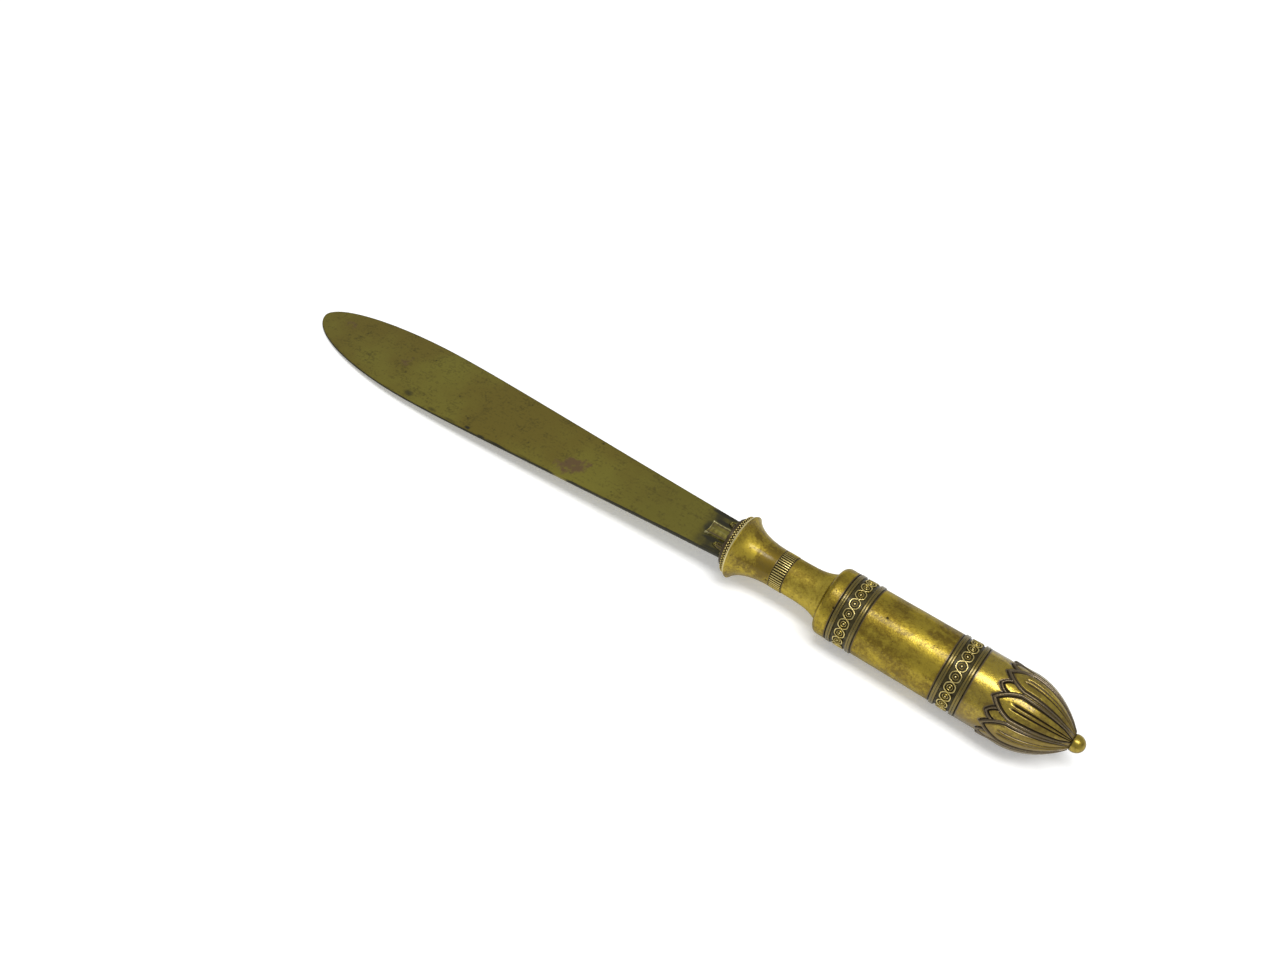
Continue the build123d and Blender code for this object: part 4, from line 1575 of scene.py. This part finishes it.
@dataclass
class LeafBud(SubAssembly):
    """Pommel: a bud of pointed leaves with raised borders, small tips between them, and a plain collar."""

    node: ClassVar[str] = "leaf_bud"
    slot: ClassVar[str] = "chased_brass"
    leaves: int = 8
    first_turn: float = 31.0
    length: float = 23.4
    end_radius: float = 2.3
    crest: float = 9.15
    ground_drop: float = 0.45
    nose: tuple[float, float] = (3.0, 3.8)
    swell: float = 8.0
    crown: float = 13.0
    leaf_length: float = 18.2
    end_width: float = 1.2
    lower: tuple[float, float] = (5.0, 3.6)
    upper: tuple[float, float] = (13.4, 6.4)
    full_radius: float = 8.9
    leaf_gap: float = 0.05
    border: float = 0.8
    rib: float = 0.56
    rib_start: float = 14.2
    rib_fade: float = 1.2
    tip_spread: float = 2.3
    tip_taper: float = 1.2
    outline: float = 0.36
    spigot: float = 6.85
    spigot_reach: float = 4.0
    rod_bore: float = 2.05
    stud_bore: float = 1.05
    floor: float = 2.9
    fine_from: float = 8.0
    fine_to: float = 18.3
    columns: int = 67
    weld: float = 2e-6

    def crest_radius(self, along: Array) -> Array:
        """Radius of the leaves' crests at distances from the bud's end."""
        pulls = [(self.nose[0], self.end_radius + self.nose[1]), (self.swell, self.crest)]
        return traced(along, [(0.0, self.end_radius), *pulls, (self.crown, self.crest)], 200)

    def leaf_half(self, along: Array) -> Array:
        """Half of a leaf's width at distances from the bud's end."""
        root, tip = (0.0, self.end_width / 2), (self.leaf_length, 0.0)
        return traced(along, [root, self.lower, self.upper, tip], 300)

    def relief(self, along: Array, turn: Array) -> tuple[Array, Array]:
        """Height of the leaves over the ground between them.

        Args:
            along: distances from the bud's end.
            turn: angles from the middle of a leaf, in radians.

        Returns:
            The heights in millimetres, and how deep in a hollow each place lies.
        """
        radius = self.crest_radius(along)
        scale = np.clip(radius / self.full_radius, 0.2, 1.0)
        reach = pi / self.leaves * radius
        side = np.abs(turn) * radius
        inside = self.inset(along, side, reach, scale)
        body, hollow = self.ribbed(along, side / scale, inside)
        tip = np.clip(self.leaf_length - along, 0.0, None)
        fade = np.exp(-tip / self.tip_taper)
        slope = self.tip_spread / self.tip_taper * fade
        between = (self.tip_spread * (1.0 - fade) - (reach - side)) / np.sqrt(1.0 + slope**2)
        small, small_hollow = self.bordered(np.where(tip > 0.0, between, -1.0), self.border * 0.75)
        outside = (inside < 0.0) | (tip <= 0.0)
        height = np.where(outside, 0.8 * small, body)
        hollow = np.where(outside, small_hollow, hollow)
        beyond = np.clip(along - self.leaf_length, 0.0, None)
        gap = np.hypot(np.clip(-np.maximum(inside, between), 0.0, None), beyond)
        line = peak(gap, 0.0, self.outline)
        ground = outside & ((between <= 0.0) | (tip <= 0.0))
        height = np.where(ground, -0.25 * line, height)
        hollow = np.where(ground, 0.95 * line, hollow)
        return height * self.ground_drop, hollow

    def inset(self, along: Array, side: Array, reach: Array, scale: Array) -> Array:
        """How far places lie inside the outline of their leaf.

        Args:
            along: distances from the bud's end.
            side: distances from the leaf's middle line.
            reach: distances from that line to the next leaf's half of the bud.
            scale: the size of the leaf's relief there.

        Returns:
            The distances, square to the outline and less than 0 outside it.
        """
        free = self.leaf_half(along)
        half = np.minimum(free, reach - self.leaf_gap * scale)
        places = np.linspace(0.0, self.leaf_length, 400)
        lean = np.interp(along, places, np.gradient(self.leaf_half(places), places))
        lean = np.where(half < free, 0.0, np.clip(lean, -3.0, 3.0))
        return (half - side) / np.sqrt(1.0 + lean**2) / scale

    def ribbed(self, along: Array, side: Array, inside: Array) -> tuple[Array, Array]:
        """Section of a large leaf, with two cuts beside its middle rib.

        Args:
            along: distances from the bud's end.
            side: distances from the leaf's middle line.
            inside: distances from its outline.

        Returns:
            Heights as a share of the relief, and how deep in a hollow each place lies.
        """
        body, hollow = self.bordered(inside, self.border)
        share = unit((self.rib_start - along) / self.rib_fade) * (inside > self.border + 0.25)
        cut = peak(side, self.rib, 0.19) * share
        middle = np.exp(-((side / 0.34) ** 4)) * share
        body = np.maximum(body, 0.8 * middle) - (np.maximum(body, 0.0) + 0.3) * 0.95 * cut
        return body, np.maximum(np.maximum(hollow, 0.16 * middle), cut)

    @staticmethod
    def bordered(inside: Array, border: float) -> tuple[Array, Array]:
        """Section of a leaf with a round border, a groove and a swelling panel.

        Args:
            inside: distances from the leaf's outline, more than 0 on the leaf.
            border: the width of its border.

        Returns:
            Heights as a share of the relief, and how deep in a hollow each place lies.
        """
        across = np.clip((inside - border / 2) / (border / 2), -1.0, 1.0)
        ridge = np.sqrt(1.0 - across**2)
        past = unit((inside - border - 0.2) / 0.3)
        panel = past * (2.0 - past) * (0.68 + 0.1 * unit((inside - border) / 2.0))
        height = 1.3 * np.where(inside < border, ridge, panel) - 0.3
        shade = np.where(inside < border, 1.0 - 0.52 * ridge**0.7, 1.0 - 0.95 * past**0.6)
        on_leaf = inside > 0.0
        return np.where(on_leaf, height, -0.3), np.where(on_leaf, shade, 1.0)

    def build(self) -> Pieces:
        """Build one leaf of the bud and set the others round the axis.

        Returns:
            The bud with its leaves.
        """
        coarse = np.linspace(0.0, self.fine_from, 46, endpoint=False)
        fine = np.linspace(self.fine_from, self.fine_to, 96, endpoint=False)
        outer = np.concatenate([coarse, fine, np.linspace(self.fine_to, self.length, 12)])
        end = self.length + self.spigot_reach
        inner = [(self.length, self.spigot), (end, self.spigot), (end, self.rod_bore)]
        inner += [(self.floor, self.rod_bore), (self.floor, self.stud_bore), (0.0, self.stud_bore)]
        turn = np.linspace(-pi / self.leaves, pi / self.leaves, self.columns)
        along = np.repeat(outer, self.columns)
        height, hollow = self.relief(along, np.tile(turn, len(outer)))
        bore_along, bore_radius = (np.repeat(column, self.columns) for column in np.array(inner).T)
        radius = np.concatenate([self.crest_radius(along) - self.ground_drop + height, bore_radius])
        along = np.concatenate([along, bore_along])
        hollow = np.concatenate([hollow, np.full(len(bore_along), 0.8)])
        count = len(outer) + len(inner)
        angle = np.tile(turn, count)
        rear = Station.of(self.node).rear
        points = np.column_stack([rear + along, radius * np.sin(angle), radius * np.cos(angle)])
        hollow = np.maximum(hollow, peak(along, self.length, 0.28))
        sector = Shape(points, quads(count, self.columns, True, False), hollow)
        ring = RingOfCopies(self.leaves, self.first_turn, self.weld)
        return [ring.build(sector, "bud_leaves", self.finish)]


@dataclass
class BallFinial(SubAssembly):
    """Small ball that closes the end of the handle."""

    node: ClassVar[str] = "ball_finial"
    slot: ClassVar[str] = "worn_brass"
    radius: float = 2.1
    bore: float = 1.05
    bore_depth: float = 2.0

    def build(self) -> Pieces:
        """Build the ball from its profile.

        Returns:
            The ball.
        """
        place = Station.of(self.node)
        centre = place.rear + self.radius
        reach = np.degrees(np.arccos((centre - place.front) / self.radius))
        profile = arc((centre, 0.0), self.radius, np.linspace(180.0, 180.0 - reach, 40))
        bored = place.front - self.bore_depth
        profile += [(place.front, self.bore), (bored, self.bore), (bored, 0.0)]
        return [turned(profile, self.hollow, steps=64).piece("finial_ball")]

    def hollow(self, x: Array, radius: Array) -> Array:
        """Dirt where the ball meets the bud."""
        return unit((x - Station.of(self.node).front + 0.3) / 0.3)


@dataclass(frozen=True)
class HiddenCore:
    """Rod, pins and wooden core inside the handle, which keep their CAD shapes."""

    steel: bpy.types.Material
    wood: bpy.types.Material

    def dress(self) -> None:
        """Give the hidden nodes their finishes."""
        for node, finish in (("tie_rod", self.steel), ("tang_pins", self.steel), ("core_dowel", self.wood)):
            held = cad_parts[node]
            held.data.materials.clear()
            held.data.materials.append(finish)
            log.info("%s: CAD shape with %s", node, finish.name)


@dataclass(frozen=True)
class SoftBox:
    """A large soft lamp."""

    name: str
    place: Place
    aim: Place
    size: tuple[float, float]
    power: float
    mirrored: bool = True

    def hang(self) -> None:
        """Put the lamp into the scene, so that bright metal mirrors it or doesn't."""
        lamp = bpy.data.lights.new(self.name, "AREA")
        lamp.shape = "RECTANGLE"
        lamp.size, lamp.size_y = self.size
        lamp.energy = self.power
        made = placed(self.name, lamp)
        made.location = self.place
        made.rotation_euler = (Vector(self.aim) - Vector(self.place)).to_track_quat("-Z", "Y").to_euler()
        made.visible_glossy = self.mirrored


@dataclass(frozen=True)
class Studio:
    """Pale board, soft lamps, dim surroundings and the camera."""

    board: bpy.types.Material
    board_half: float = 2.5
    key_box: SoftBox = SoftBox("key_box", (-0.24, 0.06, 0.97), (-0.24, 0.06, 0.0), (0.73, 0.28), 6.2)
    desk_box: SoftBox = SoftBox("desk_box", (0.05, -0.1, 1.2), (0.0, 0.0, 0.0), (1.4, 1.4), 1.0, mirrored=False)
    surround: Colour = (0.55, 0.555, 0.56)
    camera_place: Place = (-0.108247, 0.134011, 0.2364)
    camera_right: Place = (-0.79764208, -0.6026262, -0.02333826)
    camera_down: Place = (-0.4671377, 0.64185688, -0.60806085)
    lens: float = 31.44
    sensor: float = 36.0

    def set_up(self) -> None:
        """Build the studio round the opener."""
        self._board()
        self.key_box.hang()
        self.desk_box.hang()
        self._surround()
        self._camera()

    def _board(self) -> None:
        """Lay the board at the height of the desk."""
        half = self.board_half
        mesh = bpy.data.meshes.new("board")
        corners = [(-half, -half, 0.0), (half, -half, 0.0), (half, half, 0.0), (-half, half, 0.0)]
        mesh.from_pydata(corners, [], [(0, 1, 2, 3)])
        mesh.materials.append(self.board)
        placed("board", mesh)

    def _surround(self) -> None:
        """Fill the surroundings with dim light."""
        world = bpy.data.worlds.new("surround")
        world.use_nodes = True
        world.node_tree.nodes.clear()
        tree = Tree(world.node_tree)
        glow = tree.node("ShaderNodeBackground", {}, {"Color": self.surround, "Strength": 1.0})
        tree.node("ShaderNodeOutputWorld", {}, {"Surface": glow.outputs[0]})
        bpy.context.scene.world = world
        bpy.context.scene.view_settings.view_transform = "Standard"

    def _camera(self) -> None:
        """Set the camera where the photograph was taken from."""
        lens = bpy.data.cameras.new("camera")
        lens.sensor_width = self.sensor
        lens.lens = self.lens
        lens.clip_start = 0.01
        made = placed("camera", lens)
        right, up = np.array(self.camera_right), -np.array(self.camera_down)
        turn = np.column_stack([right, up, np.cross(right, up)])
        made.matrix_world = Matrix.Translation(self.camera_place) @ Matrix(turn.tolist()).to_4x4()
        bpy.context.scene.camera = made


def main() -> None:
    """Build the opener from its blade to its ball, then the studio."""
    logging.basicConfig(level=logging.INFO, format="%(name)s %(message)s")
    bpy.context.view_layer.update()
    crisp = {"pits": 0.4, "cloud": 0.5, "sheen": 0.27}
    olive, pale = (0.135, 0.113, 0.042), (0.74, 0.62, 0.28)
    worn = Brass("worn_brass").material()
    guard = Brass("guard_brass", sheen=0.48, lacquer=0.4, lacquer_sheen=0.18).material()
    neck = Brass("neck_brass", (0.44, 0.335, 0.045), (0.24, 0.17, 0.021), sheen=0.5, lacquer=0.2).material()
    chased = Brass("chased_brass", rubbed=pale, tarnish=olive, lacquer=0.6, **crisp).material()
    milled = Brass("milled_brass", rubbed=(0.64, 0.52, 0.2), **crisp).material()
    # Painted shade: the bud's lower side is dulled in full.
    leafed = Brass("leaf_brass", cloud=0.75, pits=0.6, sheen=0.27, lacquer=0.7, painted_underside_shade=1.0).material()
    collar = Brass("collar_brass", (0.26, 0.225, 0.045), (0.16, 0.132, 0.03), (0.5, 0.46, 0.24)).material()
    pieces: list[SubAssembly] = [
        Blade(BladeBrass().material()),
        RootCollar(collar),
        BeadRing(milled),
        BellGuard(guard),
        ReededRing(milled),
        TrumpetNeck(neck),
        ShoulderCap(worn),
        GuillocheBand(chased, BandPlace.FRONT),
        GripBarrel(worn),
        GuillocheBand(chased, BandPlace.REAR),
        LeafBud(leafed),
        BallFinial(chased),
    ]
    for piece in pieces:
        piece.install()
    HiddenCore(TurnedSteel().material(), CoreWood().material()).dress()
    Studio(PaleBoard().material()).set_up()


if __name__ == "__main__":
    main()
